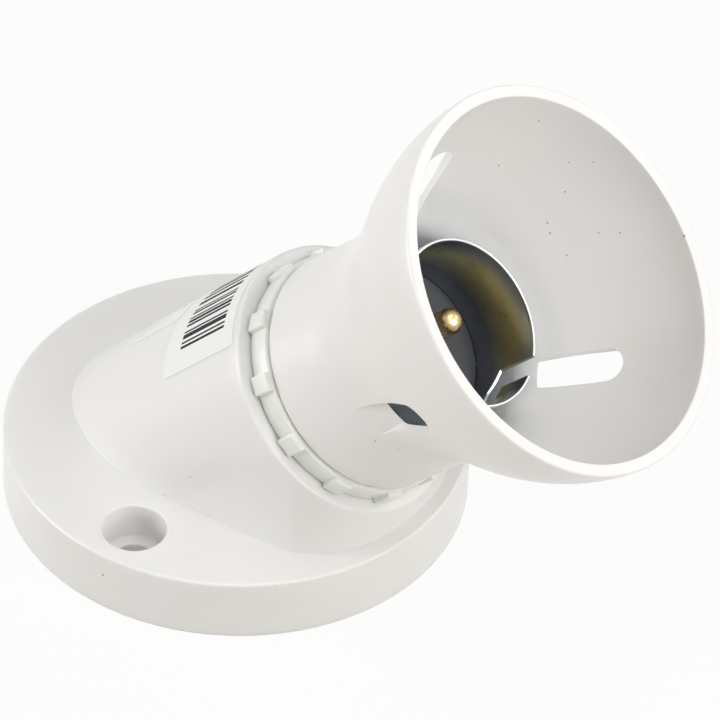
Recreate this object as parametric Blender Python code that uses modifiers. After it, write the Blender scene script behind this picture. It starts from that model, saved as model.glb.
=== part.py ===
"""A batten lamp holder: a round base with an angled neck, a lock ring, a bell skirt and a bayonet insert.

The base lies on the ground plane and the neck leans towards +X. Most pieces are turned about the neck
axis, so they are modelled upright in their own space, +Z along that axis, and carried by an empty that
leans with it. There, angle 0 points to the top of the neck and distances run from the neck's root.
"""

import math

import bmesh
import bpy
from mathutils import Matrix, Vector

MM = 0.001

# Clearances
FIT = 0.25 * MM
RUNNING_FIT = 0.15 * MM
LABEL_GAP = 0.06 * MM
OVERRUN = 1.0 * MM
WELD = 0.001 * MM

# Bayonet sleeve: its bore takes the lamp's cap, and the pieces round it take their sizes from it
SLEEVE_BORE = 11.3 * MM
SLEEVE_WALL = 0.45 * MM
SLEEVE_MOUTH = 60.6 * MM
SLEEVE_FLANGE_INSET = 0.6 * MM
INSERT_ANGLE = math.radians(-6.0)
ENTRY_WIDTH = 3.2 * MM
ENTRY_TURN = math.radians(27.0)
CATCH_DEEP = 52.2 * MM
CATCH_DEEP_AT_ENTRY = 53.9 * MM
CATCH_SHALLOW = 55.2 * MM
CATCH_REST = 56.6 * MM

# Skirt: threaded spigot, barrel and bell
SPIGOT_GAP = 0.45 * MM
SPIGOT_WALL = 2.0 * MM
BARREL_GAP = 2.75 * MM
BARREL_WALL = 2.0 * MM
BARREL_SHOULDER = 44.0 * MM
BELL_MOUTH = 79.1 * MM
BELL_FLARE = 10.1 * MM
BELL_WALL = 1.7 * MM
BELL_ROOT = 56.0 * MM
BELL_POWER = 1.87
BELL_STEPS = 6
ROOT_FILLET_BACK = 48.8 * MM
ROOT_FILLET_SHARE = 0.28
ROOT_FILLET_STEPS = 6
INNER_POWER = 1.6
INNER_STEP = 2.1 * MM
INNER_STEP_LENGTH = 2.4 * MM

# Three slots through the bell, each with a ramp that runs out on the barrel
SLOT_COUNT = 3
SLOT_ANGLE = math.radians(-26.5)
SLOT_WIDTH = 4.6 * MM
SLOT_SINK = 0.3 * MM
SLOT_BACK = 55.0 * MM
SLOT_SHARE = 0.502
RAMP_LENGTH = 6.8 * MM
RAMP_START_WIDTH = 5.2 * MM

# Lock ring
RING_THICKNESS = 3.0 * MM
RING_STEP = 0.4 * MM
RING_TEETH = 12
RING_TOOTH_HEIGHT = 0.7 * MM
RING_TOOTH_WIDTH = 2.6 * MM
RING_FIRST_TOOTH = math.radians(-2.4)

# Base and neck, one moulding
BASE_RADIUS = 32.0 * MM
BASE_HEIGHT = 9.4 * MM
BASE_EDGE = 0.6 * MM
BASE_WALL = 2.2 * MM
BASE_TOP = 2.4 * MM
NECK_TILT = math.radians(45.0)
NECK_ROOT = 8.6 * MM
NECK_LENGTH = 35.6 * MM
NECK_LIP_MARGIN = 2.0 * MM
NECK_LIP_ROUND = 0.4 * MM
NECK_TAPER = 1.3 * MM
NECK_WALL = 2.2 * MM

# Screw posts
POST_OFFSET_X = -1.9 * MM
POST_OFFSET_Y = 25.05 * MM
POST_RADIUS = 6.2 * MM
POST_RECESS = 0.1 * MM
COUNTERBORE_RADIUS = 4.4 * MM
COUNTERBORE_FLOOR = 4.0 * MM
SCREW_HOLE_RADIUS = 2.6 * MM

# Ledge inside the neck that carries the insert
LEDGE_FRONT = 27.0 * MM
LEDGE_THICKNESS = 2.0 * MM

# Plunger housing and terminal block
HOUSING_FIT = 0.3 * MM
HOUSING_FACE = 49.0 * MM
HOUSING_CHAMFER = 0.4 * MM
FLANGE_THICKNESS = 1.0 * MM
BLOCK_STEP = 0.8 * MM
BLOCK_BACK = 16.0 * MM
KEY_WIDTH = 2.6 * MM
KEY_HEIGHT = 1.3 * MM
BLOCK_SCREW_EDGE = 3.8 * MM
BLOCK_SCREW_RADIUS = 1.25 * MM
BLOCK_SCREW_HEAD_RADIUS = 2.3 * MM
BLOCK_SCREW_HEAD_HEIGHT = 1.6 * MM
BLOCK_SCREW_BITE = 5.0 * MM

# Contacts
CONTACT_OFFSET = 5.4 * MM
PLUNGER_RADIUS = 1.85 * MM
PLUNGER_REACH = 5.0 * MM
PLUNGER_STEP = 46.2 * MM
PLUNGER_COLLAR_RADIUS = 2.45 * MM
PLUNGER_COLLAR_HEIGHT = 1.5 * MM
PLUNGER_TAIL_RADIUS = 1.2 * MM
PLUNGER_TAIL_LENGTH = 2.0 * MM
SPRING_RADIUS = 2.02 * MM
SPRING_WIRE_RADIUS = 0.28 * MM
SPRING_TURNS = 7
SPRING_POINTS_A_TURN = 10
PILLAR_SIDE = 5.4 * MM
PILLAR_BACK_DEPTH = 1.0 * MM
PILLAR_FRONT = 26.0 * MM
STEM_RADIUS = 2.45 * MM
STEM_FRONT = 33.3 * MM
WIRE_HOLE_RADIUS = 1.3 * MM
CLAMP_SCREW_RADIUS = 1.5 * MM
CLAMP_SCREW_SINK = 0.75 * MM
CLAMP_SCREW_SPACING = 4.4 * MM
SCREW_SLOT_WIDTH = 0.5 * MM
SCREW_SLOT_DEPTH = 0.7 * MM

# Labels on the neck
LABEL_THICKNESS = 0.15 * MM
BAR_LABEL_BACK = 19.1 * MM
BAR_LABEL_FRONT = 34.4 * MM
BAR_LABEL_ANGLES = (math.radians(-50.0), math.radians(37.7))
CLEAR_LABEL_BACK = 7.2 * MM
CLEAR_LABEL_FRONT = 18.7 * MM
CLEAR_LABEL_ANGLES = (math.radians(-46.0), math.radians(6.0))

# Numbers of flat sides on turned shapes
SIDES = 60
INSERT_SIDES = 48
SMALL_SIDES = 20
SHARP_ANGLE = math.radians(32.0)

# Worked out from the sizes above
SLEEVE_RADIUS = SLEEVE_BORE + SLEEVE_WALL
SPIGOT_BORE = SLEEVE_RADIUS + SPIGOT_GAP
SPIGOT_RADIUS = SPIGOT_BORE + SPIGOT_WALL
SLEEVE_FLANGE_RADIUS = SPIGOT_RADIUS - SLEEVE_FLANGE_INSET
BARREL_BORE = SLEEVE_RADIUS + BARREL_GAP
BARREL_RADIUS = BARREL_BORE + BARREL_WALL
BELL_RADIUS = BARREL_RADIUS + BELL_FLARE
BELL_LENGTH = BELL_MOUTH - BELL_ROOT
ROOT_FILLET_FRONT = BELL_ROOT + ROOT_FILLET_SHARE * BELL_LENGTH
SLOT_FLOOR = BARREL_RADIUS - SLOT_SINK
SLOT_FRONT = SLOT_BACK + SLOT_SHARE * BELL_LENGTH
RING_RADIUS = BARREL_RADIUS + RING_STEP
NECK_LIP_RADIUS = RING_RADIUS + NECK_LIP_MARGIN
NECK_FOOT_RADIUS = NECK_LIP_RADIUS - NECK_TAPER
NECK_STEP = math.tau / SIDES
NECK_CORNERS = [NECK_STEP * (step + 0.5) for step in range(SIDES)]
NECK_FILL_LEVEL = BASE_HEIGHT - BASE_TOP / 2
ALONG = Vector((math.sin(NECK_TILT), 0.0, math.cos(NECK_TILT)))
UPWARD = Vector((-math.cos(NECK_TILT), 0.0, math.sin(NECK_TILT)))
SIDEWAYS = ALONG.cross(UPWARD)
REACH_X = -NECK_ROOT + BELL_MOUTH * ALONG.x + BELL_RADIUS * ALONG.z
BASE_X = (BASE_RADIUS - REACH_X) / 2
ROOT = Vector((BASE_X - NECK_ROOT, 0.0, 0.0))
HOUSING_RADIUS = SLEEVE_BORE - HOUSING_FIT
BLOCK_RADIUS = HOUSING_RADIUS + BLOCK_STEP
BLOCK_SCREW_OFFSET = BLOCK_RADIUS - BLOCK_SCREW_EDGE
LEDGE_BORE = BLOCK_RADIUS + FIT
COLLAR_BORE = SPIGOT_RADIUS + FIT
RING_BACK = NECK_LENGTH + FIT
BARREL_BACK = RING_BACK + RING_THICKNESS + FIT
FLANGE_BACK = LEDGE_FRONT + FIT
FLANGE_FRONT = FLANGE_BACK + FLANGE_THICKNESS
SLEEVE_BACK = FLANGE_FRONT + FIT
SPIGOT_BACK = SLEEVE_BACK + SLEEVE_WALL + FIT
PILLAR_BACK = BLOCK_BACK + PILLAR_BACK_DEPTH
COLLAR_FRONT = PLUNGER_STEP - FIT
COLLAR_BACK = COLLAR_FRONT - PLUNGER_COLLAR_HEIGHT


def clear_scene():
    for old in list(bpy.data.objects):
        bpy.data.objects.remove(old)


def make_collection(name):
    collection = bpy.data.collections.new(name)
    bpy.context.scene.collection.children.link(collection)
    return collection


def make_material(name, colour, roughness, metallic=0.0):
    material = bpy.data.materials.new(name)
    material.use_nodes = True
    shader = material.node_tree.nodes["Principled BSDF"]
    shader.inputs["Base Color"].default_value = (*colour, 1.0)
    shader.inputs["Roughness"].default_value = roughness
    shader.inputs["Metallic"].default_value = metallic
    return material


clear_scene()
PIECES = make_collection("batten_lamp_holder")
CUTTERS = make_collection("cutters")
WHITE_PLASTIC = make_material("white_plastic", (0.84, 0.83, 0.81), 0.28)
RING_PLASTIC = make_material("ring_plastic", (0.78, 0.80, 0.76), 0.35)
PLATED_STEEL = make_material("plated_steel", (0.62, 0.64, 0.67), 0.22, 1.0)
DARK_PLASTIC = make_material("dark_plastic", (0.02, 0.022, 0.03), 0.35)
BRASS = make_material("brass", (0.66, 0.45, 0.19), 0.28, 1.0)
SPRING_STEEL = make_material("spring_steel", (0.52, 0.53, 0.55), 0.3, 1.0)
LABEL_PAPER = make_material("label_paper", (0.88, 0.88, 0.86), 0.6)
LABEL_FILM = make_material("label_film", (0.80, 0.82, 0.76), 0.3)


def make_axis(name, parent=None, turn=0.0):
    """An empty on the neck axis, turned about it. The first one leans with the neck."""
    empty = bpy.data.objects.new(name, None)
    PIECES.objects.link(empty)
    if parent is None:
        empty.location = ROOT
        empty.rotation_euler = (0.0, -NECK_TILT, math.pi)
    else:
        empty.parent = parent
        empty.rotation_euler = (0.0, 0.0, turn)
    return empty


NECK_AXIS = make_axis("neck_axis")
SKIRT_AXIS = make_axis("skirt_axis", NECK_AXIS, SLOT_ANGLE)
INSERT_AXIS = make_axis("insert_axis", NECK_AXIS, INSERT_ANGLE)


def place(obj, collection, parent=None, location=(0.0, 0.0, 0.0), rotation=(0.0, 0.0, 0.0)):
    collection.objects.link(obj)
    obj.parent = parent
    obj.location = location
    obj.rotation_euler = rotation
    if collection == CUTTERS:
        obj.hide_render = True
        obj.display_type = "WIRE"
    return obj


def object_from(name, shape):
    """A new object holding a bmesh, its normals pointing out."""
    bmesh.ops.recalc_face_normals(shape, faces=shape.faces)
    mesh = bpy.data.meshes.new(name)
    shape.to_mesh(mesh)
    shape.free()
    return bpy.data.objects.new(name, mesh)


def at_angle(radius, angle, height):
    return Vector((radius * math.cos(angle), radius * math.sin(angle), height))


def turned(name, profile, sides=SIDES, phase=0.0):
    """A profile of (radius, height) points, outer side first and running down, turned about Z.

    The phase moves the flat sides round by a share of one side, so that two shapes' corners don't meet.
    """
    mesh = bpy.data.meshes.new(name)
    first = phase * math.tau / sides
    points = [at_angle(radius, first, height) for radius, height in profile]
    edges = [(i, i + 1) for i in range(len(points) - 1)]
    if min(radius for radius, _ in profile) > 0:
        edges.append((len(points) - 1, 0))
    mesh.from_pydata(points, edges, [])
    obj = bpy.data.objects.new(name, mesh)
    screw = obj.modifiers.new("turn", "SCREW")
    screw.axis = "Z"
    screw.steps = sides
    screw.render_steps = sides
    screw.use_merge_vertices = True
    screw.merge_threshold = 1e-6
    return obj


def cylinder(name, radius, low, high, sides=SIDES, phase=0.0):
    """An upright cylinder between two heights, with its flat sides moved round by the phase."""
    shape = bmesh.new()
    turn = Matrix.Rotation(phase * math.tau / sides, 4, "Z")
    bmesh.ops.create_cone(
        shape,
        cap_ends=True,
        segments=sides,
        radius1=radius,
        radius2=radius,
        depth=high - low,
        matrix=Matrix.Translation((0.0, 0.0, (low + high) / 2)) @ turn,
    )
    return object_from(name, shape)


def hull(name, points):
    """The convex solid round a set of points."""
    shape = bmesh.new()
    for point in points:
        shape.verts.new(point)
    bmesh.ops.convex_hull(shape, input=shape.verts)
    spare = [vertex for vertex in shape.verts if not vertex.link_faces]
    bmesh.ops.delete(shape, geom=spare, context="VERTS")
    return object_from(name, shape)


def box(name, low, high):
    low, high = Vector(low), Vector(high)
    size = Matrix.Diagonal((*(high - low), 1.0))
    shape = bmesh.new()
    bmesh.ops.create_cube(shape, size=1.0, matrix=Matrix.Translation((low + high) / 2) @ size)
    return object_from(name, shape)


def flat_piece(name, outlines, thickness):
    """A 2D curve of one or more outlines, filled, and given its thickness along Z, then made a mesh."""
    curve = bpy.data.curves.new(name, "CURVE")
    curve.dimensions = "2D"
    curve.fill_mode = "BOTH"
    curve.extrude = thickness / 2
    for points in outlines:
        spline = curve.splines.new("POLY")
        spline.points.add(len(points) - 1)
        for point, (x, y) in zip(spline.points, points):
            point.co = (x, y, 0.0, 1.0)
        spline.use_cyclic_u = True
    drawn = bpy.data.objects.new(name, curve)
    PIECES.objects.link(drawn)
    graph = bpy.context.evaluated_depsgraph_get()
    mesh = bpy.data.meshes.new_from_object(drawn.evaluated_get(graph))
    bpy.data.objects.remove(drawn)
    shape = bmesh.new()
    shape.from_mesh(mesh)
    bmesh.ops.remove_doubles(shape, verts=shape.verts, dist=WELD)
    return object_from(name, shape)


def boolean(obj, operation, *others):
    for other in others:
        modifier = obj.modifiers.new(other.name, "BOOLEAN")
        modifier.operation = operation
        modifier.object = other


def finish(obj, material):
    """Fixes the modifiers into the mesh, shades it smooth and gives it its material."""
    graph = bpy.context.evaluated_depsgraph_get()
    mesh = bpy.data.meshes.new_from_object(obj.evaluated_get(graph))
    mesh.name = obj.name
    if obj.type == "MESH":
        obj.modifiers.clear()
        obj.data = mesh
        mesh.shade_smooth()
        mesh.set_sharp_from_angle(angle=SHARP_ANGLE)
    obj.data.materials.clear()
    obj.data.materials.append(material)
    return obj


def neck_point(radius, angle, distance):
    """A point of the part's own space, given round and along the neck axis."""
    return ROOT + ALONG * distance + radius * (math.cos(angle) * UPWARD + math.sin(angle) * SIDEWAYS)


def neck_ring_on_level(radius, level):
    """Where a round tube on the neck axis crosses a level plane."""
    ring = []
    for angle in NECK_CORNERS:
        distance = (level - radius * math.cos(angle) * UPWARD.z) / ALONG.z
        ring.append(neck_point(radius, angle, distance))
    return ring


def neck_ring(radius, distance):
    return [neck_point(radius, angle, distance) for angle in NECK_CORNERS]


def neck_shape(name, foot_radius, rings, level):
    """The neck's form: a leaning tube, filled out straight down from its widest front ring to a level."""
    points = neck_ring_on_level(foot_radius, level)
    for radius, distance in rings:
        points += neck_ring(radius, distance)
    widest, front = max(rings)
    points += [Vector((point.x, point.y, level)) for point in neck_ring(widest, front)]
    return hull(name, points)


def make_base_housing():
    """The base and neck, one hollow moulding that is open at its back."""
    arc = [math.radians(90.0 - 22.5 * step) for step in range(5)]
    edge = [
        (
            BASE_RADIUS - BASE_EDGE + BASE_EDGE * math.cos(angle),
            BASE_HEIGHT - BASE_EDGE + BASE_EDGE * math.sin(angle),
        )
        for angle in arc
    ]
    housing = turned("base_housing", [(0.0, BASE_HEIGHT), *edge, (BASE_RADIUS, 0.0), (0.0, 0.0)])
    place(housing, PIECES, location=(BASE_X, 0.0, 0.0))

    rounding = [math.radians(30.0 * step) for step in range(4)]
    lip = [
        (
            NECK_LIP_RADIUS - NECK_LIP_ROUND * (1 - math.cos(angle)),
            NECK_LENGTH - NECK_LIP_ROUND * (1 - math.sin(angle)),
        )
        for angle in rounding
    ]
    neck = neck_shape("neck_outside", NECK_FOOT_RADIUS, lip, NECK_FILL_LEVEL)
    ledge_back = LEDGE_FRONT - LEDGE_THICKNESS
    inside_radius = NECK_FOOT_RADIUS - NECK_WALL
    neck_inside = neck_shape("neck_inside", inside_radius, [(inside_radius, ledge_back)], -OVERRUN)
    inside_radius = BASE_RADIUS - BASE_WALL
    base_inside = cylinder("base_inside", inside_radius, -OVERRUN, BASE_HEIGHT - BASE_TOP, SIDES, 0.5)
    place(neck, CUTTERS)
    place(neck_inside, CUTTERS)
    place(base_inside, CUTTERS, location=(BASE_X, 0.0, 0.0))
    boolean(housing, "UNION", neck)
    boolean(housing, "DIFFERENCE", base_inside, neck_inside)

    for side, sign in (("left", -1.0), ("right", 1.0)):
        spot = (BASE_X + POST_OFFSET_X, sign * POST_OFFSET_Y, 0.0)
        post = cylinder(f"post_{side}", POST_RADIUS, POST_RECESS, NECK_FILL_LEVEL, INSERT_SIDES, 0.2)
        top = BASE_HEIGHT + OVERRUN
        recess = cylinder(f"recess_{side}", COUNTERBORE_RADIUS, COUNTERBORE_FLOOR, top, INSERT_SIDES, 0.4)
        top = COUNTERBORE_FLOOR + OVERRUN
        hole = cylinder(f"hole_{side}", SCREW_HOLE_RADIUS, -OVERRUN, top, INSERT_SIDES, 0.7)
        for cutter in (post, recess, hole):
            place(cutter, CUTTERS, location=spot)
        boolean(housing, "UNION", post)
        boolean(housing, "DIFFERENCE", recess, hole)

    ledge_hole = cylinder("ledge_hole", LEDGE_BORE, ledge_back - OVERRUN, LEDGE_FRONT + OVERRUN, SIDES, 0.3)
    collar_hole = cylinder("collar_hole", COLLAR_BORE, LEDGE_FRONT, NECK_LENGTH + OVERRUN)
    key_reach = BLOCK_RADIUS + KEY_HEIGHT + FIT
    key_half = KEY_WIDTH / 2 + FIT
    keyway = box(
        "keyway",
        (-key_reach, -key_half, ledge_back - OVERRUN),
        (key_reach, key_half, LEDGE_FRONT + OVERRUN / 2),
    )
    place(ledge_hole, CUTTERS, NECK_AXIS)
    place(collar_hole, CUTTERS, NECK_AXIS)
    place(keyway, CUTTERS, INSERT_AXIS)
    boolean(housing, "DIFFERENCE", ledge_hole, collar_hole, keyway)
    return finish(housing, WHITE_PLASTIC)


def make_lock_ring():
    """A flat ring with finger teeth on its rim, threaded on the skirt's spigot."""
    pitch = math.tau / RING_TEETH
    tip = RING_RADIUS + RING_TOOTH_HEIGHT
    half_foot = RING_TOOTH_WIDTH / 2 / RING_RADIUS
    half_tip = RING_TOOTH_WIDTH / 2 / tip
    gap = pitch - 2 * half_foot
    outline = []
    for tooth in range(RING_TEETH):
        centre = tooth * pitch
        outline += [(RING_RADIUS, centre - half_foot), (tip, centre - half_tip), (tip, centre + half_tip)]
        outline += [(RING_RADIUS, centre + half_foot + gap * step / 4) for step in range(4)]
    outside = [at_angle(radius, angle, 0.0).xy for radius, angle in outline]
    bore = [at_angle(COLLAR_BORE, math.tau * step / SIDES, 0.0).xy for step in range(SIDES)]
    ring = flat_piece("lock_ring", (outside, bore), RING_THICKNESS)
    turn = RING_FIRST_TOOTH - SLOT_ANGLE
    place(ring, PIECES, SKIRT_AXIS, (0.0, 0.0, RING_BACK + RING_THICKNESS / 2), (0.0, 0.0, turn))
    return finish(ring, RING_PLASTIC)


def bell_curve(root_radius, mouth_radius, power, end):
    """The bell's section as (radius, height), from its mouth down to an end: a power curve over its root."""
    points = []
    for step in range(BELL_STEPS + 1):
        height = BELL_MOUTH - step / BELL_STEPS * (BELL_MOUTH - end)
        share = (BELL_MOUTH - height) / BELL_LENGTH
        points.append((root_radius + (mouth_radius - root_radius) * (1 - share**power), height))
    return points


def root_fillet(front):
    """The hollow curve, a parabola, that leads from the bell's outside at a front point to the barrel."""
    slope = BELL_FLARE * BELL_POWER * (1 - ROOT_FILLET_SHARE) ** (BELL_POWER - 1) / BELL_LENGTH
    rise = front[0] - BARREL_RADIUS
    corner = front[1] - rise / slope
    points = []
    for step in range(1, ROOT_FILLET_STEPS + 1):
        back = step / ROOT_FILLET_STEPS
        height = (1 - back) ** 2 * front[1] + 2 * back * (1 - back) * corner + back**2 * ROOT_FILLET_BACK
        points.append((BARREL_RADIUS + (1 - back) ** 2 * rise, height))
    return points


def make_skirt():
    """The spigot, barrel and bell, one moulding, with three slots cored out from its sides."""
    outside = bell_curve(BARREL_RADIUS, BELL_RADIUS, BELL_POWER, ROOT_FILLET_FRONT)
    inside = bell_curve(BARREL_BORE + INNER_STEP, BELL_RADIUS - BELL_WALL, INNER_POWER, BELL_ROOT)
    profile = [
        *outside,
        *root_fillet(outside[-1]),
        (BARREL_RADIUS, BARREL_BACK),
        (SPIGOT_RADIUS, BARREL_BACK),
        (SPIGOT_RADIUS, SPIGOT_BACK),
        (SPIGOT_BORE, SPIGOT_BACK),
        (SPIGOT_BORE, BARREL_SHOULDER),
        (BARREL_BORE, BARREL_SHOULDER),
        (BARREL_BORE, BELL_ROOT - INNER_STEP_LENGTH),
        *reversed(inside),
    ]
    skirt = place(turned("skirt", profile, SIDES, 0.5), PIECES, SKIRT_AXIS)

    half = SLOT_WIDTH / 2
    ramp_back = SLOT_BACK - RAMP_LENGTH
    ramp_half = RAMP_START_WIDTH / 2
    outline = [
        (half * math.cos(angle), SLOT_FRONT - half + half * math.sin(angle))
        for angle in (math.radians(20.0 * step) for step in range(10))
    ]
    outline += [(-half, SLOT_BACK), (half, SLOT_BACK)]
    ramp_corners = [
        (BARREL_RADIUS + OVERRUN, ramp_half, ramp_back),
        (BARREL_RADIUS + FIT / 2, ramp_half, ramp_back),
        (SLOT_FLOOR - FIT / 5, half - FIT / 5, SLOT_BACK + FIT),
        (BELL_RADIUS, half - FIT / 5, SLOT_BACK + FIT),
    ]
    for index in range(SLOT_COUNT):
        turn = math.tau * index / SLOT_COUNT
        slot = hull(f"slot_{index}", [(x, y, z) for y, z in outline for x in (SLOT_FLOOR, BELL_RADIUS)])
        ramp = hull(f"ramp_{index}", [(x, sign * y, z) for x, y, z in ramp_corners for sign in (-1.0, 1.0)])
        for cutter in (slot, ramp):
            place(cutter, CUTTERS, SKIRT_AXIS, rotation=(0.0, 0.0, turn))
        boolean(skirt, "DIFFERENCE", ramp, slot)
    return finish(skirt, WHITE_PLASTIC)


def make_bayonet_sleeve():
    """A drawn metal tube with a flange at its back and two J-shaped slots that open at its mouth."""
    profile = [
        (SLEEVE_RADIUS, SLEEVE_MOUTH),
        (SLEEVE_RADIUS, SLEEVE_BACK + SLEEVE_WALL),
        (SLEEVE_FLANGE_RADIUS, SLEEVE_BACK + SLEEVE_WALL),
        (SLEEVE_FLANGE_RADIUS, SLEEVE_BACK),
        (SLEEVE_BORE, SLEEVE_BACK),
        (SLEEVE_BORE, SLEEVE_MOUTH),
    ]
    sleeve = place(turned("bayonet_sleeve", profile, INSERT_SIDES), PIECES, INSERT_AXIS)
    middle = ENTRY_TURN / 2
    half = ENTRY_WIDTH / 2 * math.cos(middle)
    entry = SLEEVE_RADIUS * math.sin(middle)
    open_end = SLEEVE_MOUTH + OVERRUN
    outline = [
        (-entry - half, CATCH_DEEP),
        (entry - half, CATCH_DEEP),
        (entry + half, CATCH_DEEP_AT_ENTRY),
        (entry + half, open_end),
        (entry - half, open_end),
        (entry - half, CATCH_SHALLOW),
        (half - entry, CATCH_SHALLOW),
        (half - entry, CATCH_REST),
        (-entry - half, CATCH_REST),
    ]
    for side, turn in (("left", math.pi), ("right", 0.0)):
        cutter = flat_piece(f"catch_{side}", (outline,), SLEEVE_RADIUS)
        spot = at_angle(SLEEVE_RADIUS, turn + middle, 0.0)
        place(cutter, CUTTERS, INSERT_AXIS, spot, (math.pi / 2, 0.0, turn + middle + math.pi / 2))
        boolean(sleeve, "DIFFERENCE", cutter)
    return finish(sleeve, PLATED_STEEL)


CONTACT_SIDES = (("left", 1.0), ("right", -1.0))
BLOCK_SCREWS = (("upper", 1.0), ("lower", -1.0))


def make_plunger_housing():
    """The dark moulding inside the sleeve: its face is seen round the plungers."""
    profile = [
        (0.0, HOUSING_FACE),
        (HOUSING_RADIUS - HOUSING_CHAMFER, HOUSING_FACE),
        (HOUSING_RADIUS, HOUSING_FACE - HOUSING_CHAMFER),
        (HOUSING_RADIUS, FLANGE_FRONT),
        (SLEEVE_FLANGE_RADIUS, FLANGE_FRONT),
        (SLEEVE_FLANGE_RADIUS, FLANGE_BACK),
        (0.0, FLANGE_BACK),
    ]
    housing = place(turned("plunger_housing", profile, INSERT_SIDES), PIECES, INSERT_AXIS)
    for side, sign in CONTACT_SIDES:
        spot = (0.0, sign * CONTACT_OFFSET, 0.0)
        nose = PLUNGER_RADIUS + RUNNING_FIT
        bore = PLUNGER_COLLAR_RADIUS + FIT
        low, high = PLUNGER_STEP - OVERRUN, HOUSING_FACE + OVERRUN
        nose_hole = cylinder(f"nose_hole_{side}", nose, low, high, SMALL_SIDES)
        low, high = FLANGE_BACK - OVERRUN, PLUNGER_STEP
        bore_hole = cylinder(f"bore_hole_{side}", bore, low, high, SMALL_SIDES, 0.5)
        place(nose_hole, CUTTERS, INSERT_AXIS, spot)
        place(bore_hole, CUTTERS, INSERT_AXIS, spot)
        boolean(housing, "DIFFERENCE", nose_hole, bore_hole)
    for end, sign in BLOCK_SCREWS:
        pilot = BLOCK_SCREW_RADIUS + RUNNING_FIT
        low, high = FLANGE_BACK - OVERRUN, FLANGE_BACK + BLOCK_SCREW_BITE + FIT
        pilot_hole = cylinder(f"pilot_hole_{end}", pilot, low, high, SMALL_SIDES)
        place(pilot_hole, CUTTERS, INSERT_AXIS, (sign * BLOCK_SCREW_OFFSET, 0.0, 0.0))
        boolean(housing, "DIFFERENCE", pilot_hole)
    return finish(housing, DARK_PLASTIC)


def clamp_screw_heights():
    middle = (PILLAR_BACK + PILLAR_FRONT) / 2
    return (("back", middle - CLAMP_SCREW_SPACING / 2), ("front", middle + CLAMP_SCREW_SPACING / 2))


def make_terminal_block():
    """The dark moulding behind the plunger housing. It holds the terminals and is keyed into the ledge."""
    block = cylinder("terminal_block", BLOCK_RADIUS, BLOCK_BACK, LEDGE_FRONT, INSERT_SIDES)
    place(block, PIECES, INSERT_AXIS)
    reach = BLOCK_RADIUS + KEY_HEIGHT
    keys = box(
        "block_keys",
        (-reach, -KEY_WIDTH / 2, LEDGE_FRONT - LEDGE_THICKNESS),
        (reach, KEY_WIDTH / 2, LEDGE_FRONT),
    )
    place(keys, CUTTERS, INSERT_AXIS)
    boolean(block, "UNION", keys)
    pocket_half = PILLAR_SIDE / 2 + RUNNING_FIT
    for side, sign in CONTACT_SIDES:
        centre = sign * CONTACT_OFFSET
        pocket = box(
            f"pocket_{side}",
            (-pocket_half, centre - pocket_half, BLOCK_BACK - OVERRUN),
            (pocket_half, centre + pocket_half, PILLAR_FRONT + FIT),
        )
        radius = STEM_RADIUS + RUNNING_FIT
        stem_hole = cylinder(f"stem_hole_{side}", radius, PILLAR_FRONT, LEDGE_FRONT + OVERRUN, SMALL_SIDES)
        place(pocket, CUTTERS, INSERT_AXIS)
        place(stem_hole, CUTTERS, INSERT_AXIS, (0.0, centre, 0.0))
        boolean(block, "DIFFERENCE", pocket, stem_hole)
        for end, height in clamp_screw_heights():
            radius = CLAMP_SCREW_RADIUS + FIT
            outside = BLOCK_RADIUS + OVERRUN
            access = cylinder(f"access_{side}_{end}", radius, CONTACT_OFFSET, outside, SMALL_SIDES)
            place(access, CUTTERS, INSERT_AXIS, (0.0, 0.0, height), (-sign * math.pi / 2, 0.0, 0.0))
            boolean(block, "DIFFERENCE", access)
    for end, sign in BLOCK_SCREWS:
        radius = BLOCK_SCREW_HEAD_RADIUS + FIT
        high = BLOCK_BACK + FIT + BLOCK_SCREW_HEAD_HEIGHT + RUNNING_FIT
        head_hole = cylinder(f"head_hole_{end}", radius, BLOCK_BACK - OVERRUN, high, SMALL_SIDES, 0.5)
        radius = BLOCK_SCREW_RADIUS + FIT
        low, high = BLOCK_BACK, LEDGE_FRONT + OVERRUN
        shank_hole = cylinder(f"shank_hole_{end}", radius, low, high, SMALL_SIDES)
        for cutter in (head_hole, shank_hole):
            place(cutter, CUTTERS, INSERT_AXIS, (sign * BLOCK_SCREW_OFFSET, 0.0, 0.0))
        boolean(block, "DIFFERENCE", head_hole, shank_hole)
    return finish(block, DARK_PLASTIC)


def make_terminal(side, sign):
    """A brass pillar with a wire hole and a stem that backs the plunger's spring."""
    half = PILLAR_SIDE / 2
    terminal = box(f"terminal_{side}", (-half, -half, PILLAR_BACK), (half, half, PILLAR_FRONT))
    place(terminal, PIECES, INSERT_AXIS, (0.0, sign * CONTACT_OFFSET, 0.0))
    stem = cylinder(f"stem_{side}", STEM_RADIUS, PILLAR_FRONT - OVERRUN, STEM_FRONT, SMALL_SIDES)
    low, high = PILLAR_BACK - OVERRUN, PILLAR_FRONT - OVERRUN
    wire_hole = cylinder(f"wire_hole_{side}", WIRE_HOLE_RADIUS, low, high, SMALL_SIDES)
    place(stem, CUTTERS, INSERT_AXIS, terminal.location)
    place(wire_hole, CUTTERS, INSERT_AXIS, terminal.location)
    boolean(terminal, "UNION", stem)
    boolean(terminal, "DIFFERENCE", wire_hole)
    for end, height in clamp_screw_heights():
        radius = CLAMP_SCREW_RADIUS + RUNNING_FIT
        tapped = cylinder(f"tapped_{side}_{end}", radius, 0.0, PILLAR_SIDE, SMALL_SIDES, 0.5)
        spot = (0.0, sign * CONTACT_OFFSET, height)
        place(tapped, CUTTERS, INSERT_AXIS, spot, (-sign * math.pi / 2, 0.0, 0.0))
        boolean(terminal, "DIFFERENCE", tapped)
    return finish(terminal, BRASS)


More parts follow.
